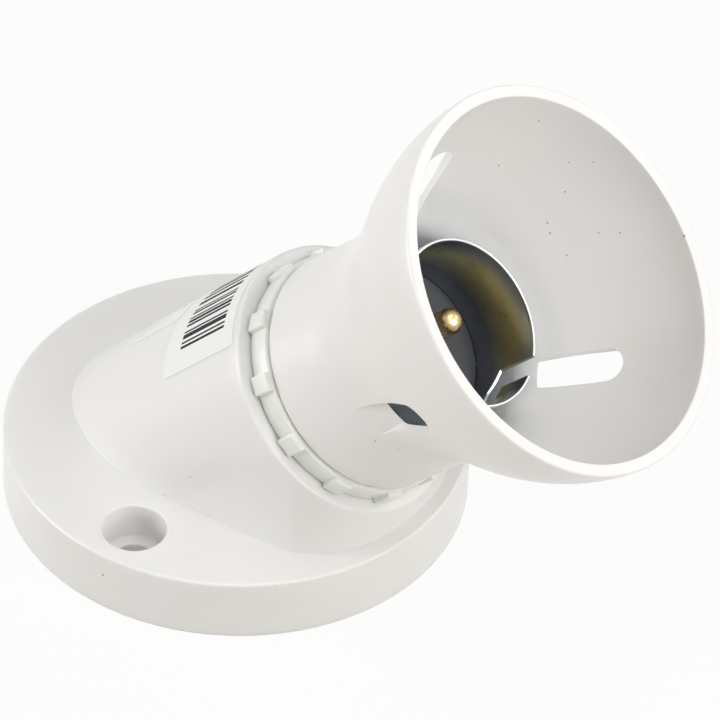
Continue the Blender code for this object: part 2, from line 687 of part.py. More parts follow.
def make_clamp_screw(side, sign, end, height):
    """A slotted grub screw that reaches from the block's side into the wire hole."""
    inner = CONTACT_OFFSET + WIRE_HOLE_RADIUS - FIT
    top = BLOCK_RADIUS - CLAMP_SCREW_SINK
    screw = cylinder(f"clamp_screw_{side}_{end}", CLAMP_SCREW_RADIUS, inner, top, SMALL_SIDES, 0.5)
    slot = box(
        f"clamp_slot_{side}_{end}",
        (-SCREW_SLOT_WIDTH / 2, -CLAMP_SCREW_RADIUS - OVERRUN, top - SCREW_SLOT_DEPTH),
        (SCREW_SLOT_WIDTH / 2, CLAMP_SCREW_RADIUS + OVERRUN, top + OVERRUN),
    )
    for obj, collection in ((screw, PIECES), (slot, CUTTERS)):
        place(obj, collection, INSERT_AXIS, (0.0, 0.0, height), (-sign * math.pi / 2, 0.0, 0.0))
    boolean(screw, "DIFFERENCE", slot)
    return finish(screw, PLATED_STEEL)


def make_block_screw(end, sign):
    """One of the two screws that pull the terminal block on to the plunger housing."""
    head_back = BLOCK_BACK + FIT
    head_front = head_back + BLOCK_SCREW_HEAD_HEIGHT
    tip = FLANGE_BACK + BLOCK_SCREW_BITE
    profile = [
        (0.0, tip),
        (BLOCK_SCREW_RADIUS, tip - BLOCK_SCREW_RADIUS),
        (BLOCK_SCREW_RADIUS, head_front),
        (BLOCK_SCREW_HEAD_RADIUS, head_front),
        (BLOCK_SCREW_HEAD_RADIUS, head_back),
        (0.0, head_back),
    ]
    screw = turned(f"block_screw_{end}", profile, SMALL_SIDES)
    reach = BLOCK_SCREW_HEAD_RADIUS + OVERRUN
    slot = box(
        f"block_slot_{end}",
        (-reach, -SCREW_SLOT_WIDTH / 2, head_back - OVERRUN),
        (reach, SCREW_SLOT_WIDTH / 2, head_back + SCREW_SLOT_DEPTH),
    )
    for obj, collection in ((screw, PIECES), (slot, CUTTERS)):
        place(obj, collection, INSERT_AXIS, (sign * BLOCK_SCREW_OFFSET, 0.0, 0.0))
    boolean(screw, "DIFFERENCE", slot)
    return finish(screw, PLATED_STEEL)


def make_plunger(side, sign):
    """A brass plunger with a domed nose, a collar that stops on the housing's step, and a tail."""
    nose = HOUSING_FACE + PLUNGER_REACH - COLLAR_BACK
    dome = [math.radians(90.0 - 15.0 * step) for step in range(1, 7)]
    profile = [(0.0, nose)]
    profile += [
        (PLUNGER_RADIUS * math.cos(angle), nose - PLUNGER_RADIUS * (1 - math.sin(angle))) for angle in dome
    ]
    profile += [
        (PLUNGER_RADIUS, PLUNGER_COLLAR_HEIGHT),
        (PLUNGER_COLLAR_RADIUS, PLUNGER_COLLAR_HEIGHT),
        (PLUNGER_COLLAR_RADIUS, 0.0),
        (PLUNGER_TAIL_RADIUS, 0.0),
        (PLUNGER_TAIL_RADIUS, -PLUNGER_TAIL_LENGTH),
        (0.0, -PLUNGER_TAIL_LENGTH),
    ]
    plunger = turned(f"plunger_{side}", profile, SMALL_SIDES)
    place(plunger, PIECES, INSERT_AXIS, (0.0, sign * CONTACT_OFFSET, COLLAR_BACK))
    return finish(plunger, BRASS)


def make_plunger_spring(side, sign):
    """A coil spring from the terminal's stem to the plunger's collar."""
    low = STEM_FRONT + SPRING_WIRE_RADIUS + FIT
    high = COLLAR_BACK - SPRING_WIRE_RADIUS - FIT
    count = SPRING_TURNS * SPRING_POINTS_A_TURN + 1
    curve = bpy.data.curves.new(f"plunger_spring_{side}", "CURVE")
    curve.dimensions = "3D"
    curve.bevel_depth = SPRING_WIRE_RADIUS
    curve.bevel_resolution = 1
    curve.use_fill_caps = True
    spline = curve.splines.new("POLY")
    spline.points.add(count - 1)
    for index, point in enumerate(spline.points):
        share = index / (count - 1)
        spot = at_angle(SPRING_RADIUS, math.tau * SPRING_TURNS * share, low + (high - low) * share)
        point.co = (*spot, 1.0)
    spring = bpy.data.objects.new(f"plunger_spring_{side}", curve)
    place(spring, PIECES, INSERT_AXIS, (0.0, sign * CONTACT_OFFSET, 0.0))
    return finish(spring, SPRING_STEEL)


def neck_surface(angle, distance, lift):
    """A point on the neck's flat-sided outside, moved out by a lift."""
    first = (math.floor(angle / NECK_STEP - 0.5) + 0.5) * NECK_STEP
    share = (angle - first) / NECK_STEP
    spot = Vector((0.0, 0.0, 0.0))
    for corner, weight in ((first, 1 - share), (first + NECK_STEP, share)):
        foot = (NECK_FILL_LEVEL - NECK_FOOT_RADIUS * math.cos(corner) * UPWARD.z) / ALONG.z
        lip = NECK_LENGTH - NECK_LIP_ROUND
        rise = (distance - foot) / (lip - foot)
        radius = NECK_FOOT_RADIUS + (NECK_LIP_RADIUS - NECK_FOOT_RADIUS) * rise
        spot += weight * neck_point(radius, corner, distance)
    return spot + lift * (math.cos(angle) * UPWARD + math.sin(angle) * SIDEWAYS)


def make_label(name, back, front, angles, material):
    """A sticker: an open sheet that follows the neck's outside, with the paper's thickness outwards."""
    low, high = angles
    numbers = range(math.floor(low / NECK_STEP - 0.5) + 1, math.ceil(high / NECK_STEP - 0.5))
    columns = [low, *((number + 0.5) * NECK_STEP for number in numbers), high]
    points = [neck_surface(angle, distance, LABEL_GAP) for angle in columns for distance in (back, front)]
    faces = [(2 * i, 2 * i + 2, 2 * i + 3, 2 * i + 1) for i in range(len(columns) - 1)]
    sheet = bpy.data.meshes.new(name)
    sheet.from_pydata(points, [], faces)
    label = place(bpy.data.objects.new(name, sheet), PIECES)
    solidify = label.modifiers.new("thickness", "SOLIDIFY")
    solidify.thickness = LABEL_THICKNESS
    solidify.offset = 1.0
    return finish(label, material)


def make_lamp_holder():
    make_base_housing()
    make_lock_ring()
    make_skirt()
    make_bayonet_sleeve()
    make_plunger_housing()
    make_terminal_block()
    for side, sign in CONTACT_SIDES:
        make_terminal(side, sign)
        make_plunger(side, sign)
        make_plunger_spring(side, sign)
        for end, height in clamp_screw_heights():
            make_clamp_screw(side, sign, end, height)
    for end, sign in BLOCK_SCREWS:
        make_block_screw(end, sign)
    make_label("bar_label", BAR_LABEL_BACK, BAR_LABEL_FRONT, BAR_LABEL_ANGLES, LABEL_PAPER)
    make_label("clear_label", CLEAR_LABEL_BACK, CLEAR_LABEL_FRONT, CLEAR_LABEL_ANGLES, LABEL_FILM)


make_lamp_holder()
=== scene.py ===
"""A batten lamp holder: a round base with a leaning neck, a lock ring, a bell skirt and a bayonet insert.

Lengths are in millimetres until a mesh is made. A place near the neck is given by its radius about the
neck's axis, its angle round it, 0 at the neck's top, and its distance along it from the neck's root.
"""

import bmesh
import bpy
import numpy as np
from mathutils import Matrix


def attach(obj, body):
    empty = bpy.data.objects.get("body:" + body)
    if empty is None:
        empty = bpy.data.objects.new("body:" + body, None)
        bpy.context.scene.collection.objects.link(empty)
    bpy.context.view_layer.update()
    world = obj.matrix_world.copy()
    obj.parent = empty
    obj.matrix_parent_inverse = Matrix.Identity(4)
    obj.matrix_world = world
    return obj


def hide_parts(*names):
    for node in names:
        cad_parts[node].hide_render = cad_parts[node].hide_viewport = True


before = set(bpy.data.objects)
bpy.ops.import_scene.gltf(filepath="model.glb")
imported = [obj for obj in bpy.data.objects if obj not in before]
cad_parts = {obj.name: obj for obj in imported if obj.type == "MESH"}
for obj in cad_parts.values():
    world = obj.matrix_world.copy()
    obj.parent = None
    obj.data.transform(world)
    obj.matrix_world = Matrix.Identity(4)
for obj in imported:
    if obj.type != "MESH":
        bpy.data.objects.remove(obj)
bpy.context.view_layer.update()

# The camera looks down at the holder from its side, turned a little towards the bell's mouth.
# Its place, turn and lens come from a fit to the rims of the base, the lock ring and the bell.
CAMERA_RIGHT = (0.88153495, 0.47115764, 0.03011009)
CAMERA_UP = (-0.33109051, 0.57148501, 0.75085548)
CAMERA_BACK = (0.33656383, -0.67187451, 0.65977983)
CAMERA_PLACE = (0.269576, -0.535525, 0.555149)
view = bpy.data.cameras.new("photo_view")
view.lens = 298.35
view.sensor_width = 36.0
view.clip_start = 0.01
camera = bpy.data.objects.new("photo_view", view)
camera_columns = ((*CAMERA_RIGHT, 0.0), (*CAMERA_UP, 0.0), (*CAMERA_BACK, 0.0), (*CAMERA_PLACE, 1.0))
camera.matrix_world = Matrix(camera_columns).transposed()
bpy.context.scene.collection.objects.link(camera)
bpy.context.scene.camera = camera
bpy.context.scene.view_settings.view_transform = "Standard"

# The holder lies on a plain white sheet in a white studio.
# The sheet shows near white to the camera and keeps a faint shadow of the base.
SHEET_REACH = 3.0
SHEET_DROP = 0.00005
SHEET_COLOUR = (0.70, 0.675, 0.63, 1.0)
SHEET_WHITE_SHARE = 0.94


def combine(nodes, links, operation, first, second):
    """The first socket and the second, a socket or a number, put through one Math node; gives its socket."""
    step = nodes.new("ShaderNodeMath")
    step.operation = operation
    links.new(first, step.inputs[0])
    if isinstance(second, bpy.types.NodeSocket):
        links.new(second, step.inputs[1])
    else:
        step.inputs[1].default_value = second
    return step.outputs[0]


floor_mesh = bpy.data.meshes.new("floor")
floor_corners = np.array([[-1, -1, 0], [1, -1, 0], [1, 1, 0], [-1, 1, 0]]) * SHEET_REACH - [0, 0, SHEET_DROP]
floor_mesh.from_pydata(floor_corners.tolist(), [], [(0, 1, 2, 3)])
floor = bpy.data.objects.new("floor", floor_mesh)
bpy.context.scene.collection.objects.link(floor)
sheet = bpy.data.materials.new("white_sheet")
sheet.use_nodes = True
sheet_nodes = sheet.node_tree.nodes
sheet_links = sheet.node_tree.links
sheet_nodes.clear()
sheet_end = sheet_nodes.new("ShaderNodeOutputMaterial")
sheet_mix = sheet_nodes.new("ShaderNodeMixShader")
sheet_matt = sheet_nodes.new("ShaderNodeBsdfDiffuse")
sheet_glow = sheet_nodes.new("ShaderNodeEmission")
sheet_rays = sheet_nodes.new("ShaderNodeLightPath").outputs
sheet_matt.inputs["Color"].default_value = SHEET_COLOUR
sheet_seen = combine(
    sheet_nodes, sheet_links, "MAXIMUM", sheet_rays["Is Camera Ray"], sheet_rays["Is Glossy Ray"]
)
sheet_share = combine(sheet_nodes, sheet_links, "MULTIPLY", sheet_seen, SHEET_WHITE_SHARE)
sheet_links.new(sheet_share, sheet_mix.inputs["Fac"])
sheet_links.new(sheet_matt.outputs[0], sheet_mix.inputs[1])
sheet_links.new(sheet_glow.outputs[0], sheet_mix.inputs[2])
sheet_links.new(sheet_mix.outputs[0], sheet_end.inputs["Surface"])
floor_mesh.materials.append(sheet)

# The room is white to the camera and in reflections, and a dark grey as a light.
# Six softboxes light the holder: overhead, at the viewer's two sides, behind it at two sides, and
# beside the viewer.
ROOM_AS_LIGHT = (0.1, 0.1, 0.1, 1.0)
ROOM_AS_SEEN = (1.0, 1.0, 1.0, 1.0)
SOFTBOX_SIZE = 0.60
SOFTBOX_AIM = np.array([0.0, 0.0, 0.03])
studio = bpy.data.worlds.new("studio")
bpy.context.scene.world = studio
studio.use_nodes = True
studio_nodes = studio.node_tree.nodes
studio_links = studio.node_tree.links
studio_light = studio_nodes["Background"]
studio_rays = studio_nodes.new("ShaderNodeLightPath").outputs
studio_tone = studio_nodes.new("ShaderNodeMix")
studio_tone.data_type = "RGBA"
studio_tone.inputs["A"].default_value = ROOM_AS_LIGHT
studio_tone.inputs["B"].default_value = ROOM_AS_SEEN
studio_seen = combine(
    studio_nodes, studio_links, "MAXIMUM", studio_rays["Is Camera Ray"], studio_rays["Is Glossy Ray"]
)
studio_seen = combine(
    studio_nodes, studio_links, "MAXIMUM", studio_seen, studio_rays["Is Transmission Ray"]
)
studio_links.new(studio_seen, studio_tone.inputs["Factor"])
studio_links.new(studio_tone.outputs["Result"], studio_light.inputs["Color"])
for lamp_name, lamp_place, lamp_power in (
    ("softbox_over", (0.02, 0.01, 1.03), 3.05),
    ("softbox_right", (0.878, -0.195, 0.469), 5.2),
    ("softbox_left", (-0.825, -0.485, 0.321), 5.8),
    ("softbox_back_right", (0.532, 0.726, 0.466), 2.2),
    ("softbox_back_left", (-0.593, 0.593, 0.574), 0.6),
    ("softbox_viewer", (0.329, -0.658, 0.708), 1.4),
):
    lamp_light = bpy.data.lights.new(lamp_name, "AREA")
    lamp_light.size = SOFTBOX_SIZE
    lamp_light.energy = lamp_power
    lamp = bpy.data.objects.new(lamp_name, lamp_light)
    back = np.array(lamp_place) - SOFTBOX_AIM
    back = back / np.linalg.norm(back)
    across = np.cross([0.0, 0.0, 1.0], back)
    across = across / np.linalg.norm(across)
    turned_to = np.stack([across, np.cross(back, across), back], 1)
    lamp.matrix_world = Matrix.Translation(lamp_place) @ Matrix(turned_to.tolist()).to_4x4()
    bpy.context.scene.collection.objects.link(lamp)

# The base and its neck are one hollow moulding in glossy white plastic, open at the back.
# The neck leans at 45 degrees, flows down to the base at its front, and has a lip and a thread inside.
# Two posts take the fixing screws, and a ledge in the neck carries the insert.
WHITE = (0.84, 0.835, 0.82)
BASE_CENTRE = np.array([-17.0706, 0.0, 0.0])
BASE_RADIUS = 32.0
BASE_HEIGHT = 9.4
BASE_EDGE_ROUND = 0.35
BASE_TOP_INSET = 0.8
BASE_SIDE_LEVELS = (0.6, 4.6, 8.4)
BASE_BORE = 29.8
BASE_CEILING = 7.0
BACK_EDGE = 0.2
NECK_ROOT = np.array([-25.6706, 0.0, 0.0])
LEAN = np.radians(45.0)
ALONG = np.array([np.sin(LEAN), 0.0, np.cos(LEAN)])
UPWARD = np.array([-np.cos(LEAN), 0.0, np.sin(LEAN)])
SIDEWAYS = np.array([0.0, -1.0, 0.0])
NECK_LENGTH = 35.6
NECK_FOOT_RADIUS = 17.6
NECK_LIP_RADIUS = 18.9
LIP_ROUND = 0.4
LIP_CENTRE_RADIUS = NECK_LIP_RADIUS - LIP_ROUND
LIP_CENTRE_AT = NECK_LENGTH - LIP_ROUND
FRONT_BLEND_START = 81.0
FRONT_BLEND_SPAN = 18.0
FOOT_FILLET = 0.15
FOOT_MARGIN = 0.6
NECK_BORE = 15.4
NECK_BORE_FLAT = 15.08
MOUTH_BORE = 14.45
MOUTH_THREAD_BACK = 27.4
MOUTH_THREAD_DEPTH = 0.35
THREAD_PITCH = 3.0
THREAD_RUN_OUT = 0.8
LEDGE_FRONT = 27.0
LEDGE_BACK = 25.0
LEDGE_BORE = 12.05
LEDGE_CHAMFER = 0.15
SCREW_X = -18.97
SCREW_Y = 25.05
POST_RADIUS = 6.2
RECESS_RADIUS = 4.4
SEAT_LEVEL = 4.0
HOLE_RADIUS = 2.6
INSERT_TURN = np.radians(-6.0)
KEY_HALF_WIDTH = 1.55
KEY_INNER = 10.0
KEY_OUTER = 13.35
KEY_BACK = 24.0
KEY_FRONT = 27.5
SMOOTH_BELOW = 32.0
WALL_SMOOTH_BELOW = 28.0


def on_neck(radius, angle, distance):
    """The root, plus the distance along the axis, plus the radius in the direction that the angle names."""
    radius, angle, distance = np.broadcast_arrays(radius, angle, distance)
    outward = np.cos(angle)[..., None] * UPWARD + np.sin(angle)[..., None] * SIDEWAYS
    return NECK_ROOT + distance[..., None] * ALONG + radius[..., None] * outward


def circles(radius, distance, around):
    """One circle about the neck's axis for each radius and distance; either may be one number for all."""
    radius, distance = np.broadcast_arrays(radius, distance)
    return on_neck(radius[:, None], around, distance[:, None])


def thread(radius, depth, first_at, last_at, run_out, rows, around):
    """Circles of the radius plus the depth times a wave that has one cycle a pitch and one a turn.

    The wave fades to nothing over the run-out at both ends.
    """
    at = np.linspace(first_at, last_at, rows)[:, None]
    low, high = min(first_at, last_at), max(first_at, last_at)
    fade = np.clip((high - at) / run_out, 0.0, 1.0) * np.clip((at - low) / run_out, 0.0, 1.0)
    wave = 0.5 - 0.5 * np.cos(2 * np.pi * (at / THREAD_PITCH) - around)
    return on_neck(radius + depth * fade * wave, around, at)


def ring_faces(rows, columns, rows_close):
    """Each face joins a point to the next column and the next row; columns close, and rows if asked."""
    row = np.arange(rows if rows_close else rows - 1)[:, None]
    column = np.arange(columns)[None, :]
    this_row, next_row = row * columns, (row + 1) % rows * columns
    after = (column + 1) % columns
    corners = [this_row + column, this_row + after, next_row + after, next_row + column]
    return np.stack(corners, -1).reshape(-1, 4).tolist()


def piece(name, points, faces, smooth_below=SMOOTH_BELOW):
    """A closed mesh in metres from points in millimetres; turned inside out where its volume is negative."""
    mesh = bpy.data.meshes.new(name)
    mesh.from_pydata((np.asarray(points).reshape(-1, 3) * 0.001).tolist(), [], faces)
    shape = bmesh.new()
    shape.from_mesh(mesh)
    if shape.calc_volume(signed=True) < 0:
        bmesh.ops.reverse_faces(shape, faces=shape.faces)
    shape.to_mesh(mesh)
    shape.free()
    mesh.shade_smooth()
    mesh.set_sharp_from_angle(angle=np.radians(smooth_below))
    result = bpy.data.objects.new(name, mesh)
    bpy.context.scene.collection.objects.link(result)
    return result


def prism(name, near, far):
    """A solid between two matching outlines: a face under each edge, and each outline closed by one face."""
    count = len(near)
    corner = np.arange(count)
    after = (corner + 1) % count
    sides = np.stack([corner, after, after + count, corner + count], -1).tolist()
    ends = [list(range(count))[::-1], list(range(count, 2 * count))]
    return piece(name, np.concatenate([near, far]), sides + ends)


def carve(body, operation, *tools, smooth_below=SMOOTH_BELOW):
    """The body with each tool taken away or added in turn; the tools are then removed."""
    for tool in tools:
        step = body.modifiers.new("carve", "BOOLEAN")
        step.operation = operation
        step.solver = "EXACT"
        step.object = tool
    graph = bpy.context.evaluated_depsgraph_get()
    carved = bpy.data.meshes.new_from_object(body.evaluated_get(graph))
    body.modifiers.clear()
    rough = body.data
    body.data = carved
    bpy.data.meshes.remove(rough)
    for tool in tools:
        bpy.data.objects.remove(tool)
    carved.shade_smooth()
    carved.set_sharp_from_angle(angle=np.radians(smooth_below))
    return body


def bend(start, corner, end, steps):
    """Rows on the parabola from start to end that leaves and arrives towards the corner."""
    share = np.linspace(0.0, 1.0, steps)[:, None, None]
    return (1 - share) ** 2 * start + 2 * share * (1 - share) * corner + share**2 * end


def straight(start, end, steps):
    """Rows spaced evenly between two rows, ends left out."""
    share = np.linspace(0.0, 1.0, steps + 2)[1:-1, None, None]
    return (1 - share) * start + share * end


def level_tube(radius, angle, level):
    """Where a tube of that radius about the neck's axis passes a level above the wall."""
    return on_neck(radius, angle, (level - radius * np.cos(angle) * UPWARD[2]) / ALONG[2])


def rise(share):
    """Three times the square less twice the cube: from 0 to 1 with level ends."""
    return share * share * (3 - 2 * share)


# The upper half of the neck's wall is a cone that meets the base's top. The lower half hangs straight down
# from the underside of the lip, and the two halves blend at the sides.
angle = np.radians(np.linspace(-180.0, 180.0, 360, endpoint=False) + 0.5)
down = rise(np.clip((np.abs(np.degrees(angle)) - FRONT_BLEND_START) / FRONT_BLEND_SPAN, 0.0, 1.0))[:, None]
upper = np.clip(angle, -np.pi / 2, np.pi / 2)
lower = np.where(np.abs(angle) > np.pi / 2, angle, np.sign(angle) * np.pi / 2)
outward = np.cos(angle)[:, None] * UPWARD + np.sin(angle)[:, None] * SIDEWAYS
lip_start = np.where(np.cos(angle) < 0, np.arctan(-np.cos(angle)), 0.0)
lip_centre = on_neck(LIP_CENTRE_RADIUS, angle, LIP_CENTRE_AT)
lip_turn = lip_start + np.linspace(0.0, 1.0, 8)[:, None] * (np.pi / 2 - lip_start)
lip_round = lip_centre + LIP_ROUND * (
    np.cos(lip_turn)[..., None] * outward + np.sin(lip_turn)[..., None] * ALONG
)
lip = lip_round[0]
under_start = np.where(np.cos(lower) < 0, np.arctan(-np.cos(lower)), 0.0)
under_radius = LIP_CENTRE_RADIUS + LIP_ROUND * np.cos(under_start)
under_lip = on_neck(under_radius, lower, LIP_CENTRE_AT + LIP_ROUND * np.sin(under_start))
under_lip[:, 2] = BASE_HEIGHT
foot = (1 - down) * level_tube(NECK_FOOT_RADIUS, upper, BASE_HEIGHT) + down * under_lip
foot_run = np.roll(foot, -1, 0) - np.roll(foot, 1, 0)
foot_out = np.stack([foot_run[:, 1], -foot_run[:, 0], np.zeros(len(foot))], 1)
foot_out /= np.linalg.norm(foot_out, axis=1)[:, None]
foot_out *= np.sign(((foot - BASE_CENTRE) * foot_out).sum(1))[:, None]
wall_up = (lip - foot) / np.linalg.norm(lip - foot, axis=1)[:, None]
plan = foot - BASE_CENTRE
plan[:, 2] = 0.0
plan /= np.linalg.norm(plan, axis=1)[:, None]


def base_ring(radius, level):
    """A circle about the base's centre, one point straight out from the centre past each foot point."""
    return BASE_CENTRE + radius * plan + [0.0, 0.0, level]


edge_turn = np.linspace(0.0, np.pi / 2, 7)[:, None, None]
edge_round = base_ring(BASE_RADIUS - BASE_EDGE_ROUND, BASE_HEIGHT - BASE_EDGE_ROUND)
edge_round = edge_round + BASE_EDGE_ROUND * (np.cos(edge_turn) * plan + np.sin(edge_turn) * [0.0, 0.0, 1.0])
base_top = base_ring(BASE_RADIUS - BASE_TOP_INSET, BASE_HEIGHT)
foot_edge = foot + FOOT_MARGIN * foot_out
ledge_radius = np.minimum(NECK_BORE, NECK_BORE_FLAT / np.maximum(-np.cos(angle), 0.5))
ledge_edge = on_neck(ledge_radius, angle, LEDGE_BACK)
shaft_radius = np.minimum(NECK_BORE, NECK_BORE_FLAT / np.maximum(-np.cos(lower), 0.5))
shaft_fall = on_neck(shaft_radius, lower, LEDGE_BACK)
shaft_fall[:, 2] = BASE_CEILING
shaft_foot = (1 - down) * level_tube(NECK_BORE, upper, BASE_CEILING) + down * shaft_fall
lip_flat_radius = [LIP_CENTRE_RADIUS - 0.15, MOUTH_BORE + 0.65, MOUTH_BORE + 0.3]
ledge_corner_radius = [LEDGE_BORE + LEDGE_CHAMFER, LEDGE_BORE, LEDGE_BORE, LEDGE_BORE + LEDGE_CHAMFER]
ledge_corner_at = [LEDGE_FRONT, LEDGE_FRONT - LEDGE_CHAMFER, LEDGE_BACK + LEDGE_CHAMFER, LEDGE_BACK]
housing_rows = np.concatenate(
    [
        base_ring(BASE_RADIUS - BACK_EDGE, 0.0)[None],
        base_ring(BASE_RADIUS - 0.3 * BACK_EDGE, 0.3 * BACK_EDGE)[None],
        base_ring(BASE_RADIUS, BACK_EDGE)[None],
        *[base_ring(BASE_RADIUS, level)[None] for level in BASE_SIDE_LEVELS],
        edge_round,
        base_top[None],
        straight(base_top, foot_edge, steps=3),
        foot_edge[None],
        bend(foot + FOOT_FILLET * foot_out, foot, foot + FOOT_FILLET * wall_up, steps=5),
        straight(foot + FOOT_FILLET * wall_up, lip, steps=12),
        lip_round,
        circles(lip_flat_radius, NECK_LENGTH, angle),
        circles([MOUTH_BORE + 0.08, MOUTH_BORE], [NECK_LENGTH - 0.08, NECK_LENGTH - 0.3], angle),
        thread(MOUTH_BORE, MOUTH_THREAD_DEPTH, LIP_CENTRE_AT, MOUTH_THREAD_BACK, THREAD_RUN_OUT, 44, angle),
        circles([MOUTH_BORE, MOUTH_BORE - 0.1], [LEDGE_FRONT + 0.1, LEDGE_FRONT], angle),
        circles(ledge_corner_radius, ledge_corner_at, angle),
        ledge_edge[None],
        straight(ledge_edge, shaft_foot, steps=6),
        shaft_foot[None],
        base_ring(BASE_BORE - BACK_EDGE, BASE_CEILING)[None],
        base_ring(BASE_BORE, BASE_CEILING - BACK_EDGE)[None],
        base_ring(BASE_BORE, BACK_EDGE)[None],
        base_ring(BASE_BORE + BACK_EDGE, 0.0)[None],
    ]
)
housing_faces = ring_faces(len(housing_rows), len(angle), True)
housing = piece("base_and_neck", housing_rows, housing_faces, WALL_SMOOTH_BELOW)
round_angle = np.radians(np.arange(0.0, 360.0, 7.5))


def upright(name, centre, profile):
    """A turned solid about an upright line: each profile pair is a radius and a level."""
    count = len(round_angle)
    radius, level = np.array(profile).T[..., None]
    across_x = centre[0] + radius * np.cos(round_angle)
    across_y = centre[1] + radius * np.sin(round_angle)
    rows = np.stack([across_x, across_y, level + np.zeros(count)], -1)
    ends = [list(range(count))[::-1], list(range((len(rows) - 1) * count, len(rows) * count))]
    return piece(name, rows, ring_faces(len(rows), count, False) + ends)


screw_centres = [(SCREW_X, -SCREW_Y), (SCREW_X, SCREW_Y)]
post_profile = [(POST_RADIUS, 0.1), (POST_RADIUS, BASE_HEIGHT - 1.2)]
carve(housing, "UNION", *[upright("post", centre, post_profile) for centre in screw_centres])
recess_profile = [(RECESS_RADIUS - 0.1, SEAT_LEVEL), (RECESS_RADIUS, SEAT_LEVEL + 0.1)]
for widening, height in ((0.0, -0.22), (0.03, -0.11), (0.11, -0.03), (0.25, 0.01), (0.4, 1.1)):
    recess_profile.append((RECESS_RADIUS + widening, BASE_HEIGHT + height))
hole_profile = [(HOLE_RADIUS + 0.4, -0.5), (HOLE_RADIUS, 0.35), (HOLE_RADIUS, SEAT_LEVEL - 0.15)]
hole_profile += [(HOLE_RADIUS + 0.12, SEAT_LEVEL + 0.01), (HOLE_RADIUS + 0.12, SEAT_LEVEL + 0.2)]
recesses = [upright("screw_recess", centre, recess_profile) for centre in screw_centres]
holes = [upright("screw_hole", centre, hole_profile) for centre in screw_centres]
carve(housing, "DIFFERENCE", *recesses, *holes)
keyways = []
for key_angle in INSERT_TURN + np.radians([0.0, 180.0]):
    key_x = np.array([-KEY_HALF_WIDTH, KEY_HALF_WIDTH, KEY_HALF_WIDTH, -KEY_HALF_WIDTH])
    key_y = np.array([KEY_INNER, KEY_INNER, KEY_OUTER, KEY_OUTER])
    key_radius = np.hypot(key_x, key_y)
    key_turn = key_angle + np.arctan2(key_x, key_y)
    key_ends = [on_neck(key_radius, key_turn, at) for at in (KEY_BACK, KEY_FRONT)]
    keyways.append(prism("keyway", *key_ends))
carve(housing, "DIFFERENCE", *keyways, smooth_below=WALL_SMOOTH_BELOW)


def new_finish(name, colour, roughness, metallic=0.0):
    """A node material with those values on its shader's own sockets; gives its nodes, links and shader."""
    finish = bpy.data.materials.new(name)
    finish.use_nodes = True
    nodes, links = finish.node_tree.nodes, finish.node_tree.links
    shader = nodes["Principled BSDF"]
    shader.inputs["Base Color"].default_value = (*colour, 1.0)
    shader.inputs["Roughness"].default_value = roughness
    shader.inputs["Metallic"].default_value = metallic
    return finish, nodes, links, shader


def between(nodes, links, value, low, high, out_low=0.0, out_high=1.0):
    """The value's share of the way from low to high, clamped, mapped to out_low and out_high."""
    spread = nodes.new("ShaderNodeMapRange")
    spread.inputs["From Min"].default_value = low
    spread.inputs["From Max"].default_value = high
    spread.inputs["To Min"].default_value = out_low
    spread.inputs["To Max"].default_value = out_high
    links.new(value, spread.inputs["Value"])
    return spread.outputs["Result"]


def mottle(nodes, links, scale, low=0.0, high=1.0, detail=2.0):
    """Noise on object coordinates, the middle four fifths of its range mapped to low and high, unclamped."""
    place = nodes.new("ShaderNodeTexCoord")
    noise = nodes.new("ShaderNodeTexNoise")
    noise.inputs["Scale"].default_value = scale
    noise.inputs["Detail"].default_value = detail
    links.new(place.outputs["Object"], noise.inputs["Vector"])
    mapped = between(nodes, links, noise.outputs["Fac"], 0.1, 0.9, low, high)
    mapped.node.clamp = False
    return mapped


def blend_colours(nodes, links, share, first, second):
    """Mix two colours, each a socket or three numbers, by the share socket; gives the colour's socket."""
    mix = nodes.new("ShaderNodeMix")
    mix.data_type = "RGBA"
    links.new(share, mix.inputs["Factor"])
    for key, colour in (("A", first), ("B", second)):
        if isinstance(colour, bpy.types.NodeSocket):
            links.new(colour, mix.inputs[key])
        else:
            mix.inputs[key].default_value = (*colour, 1.0)
    return mix.outputs["Result"]


def dimple(nodes, links, shader, height, strength, depth_mm):
    """Bump the shader's surface by a height socket: its value times the depth, weakened to the strength."""
    bump = nodes.new("ShaderNodeBump")
    bump.inputs["Strength"].default_value = strength
    bump.inputs["Distance"].default_value = depth_mm * 0.001
    links.new(height, bump.inputs["Height"])
    links.new(bump.outputs["Normal"], shader.inputs["Normal"])


SPECK_TONE = (0.27, 0.23, 0.19)
SPECK_SHARE = 0.8


def specks(nodes, links, colour, places):
    """The colour, turned to the speck's tone within each radius of its place, with a short soft edge."""
    where = nodes.new("ShaderNodeTexCoord")
    for x, y, z, radius in places:
        apart = nodes.new("ShaderNodeVectorMath")
        apart.operation = "DISTANCE"
        apart.inputs[1].default_value = (x * 0.001, y * 0.001, z * 0.001)
        links.new(where.outputs["Object"], apart.inputs[0])
        edge = between(
            nodes, links, apart.outputs["Value"], radius * 0.0006, radius * 0.0011, SPECK_SHARE, 0.0
        )
        colour = blend_colours(nodes, links, edge, colour, SPECK_TONE)
    return colour


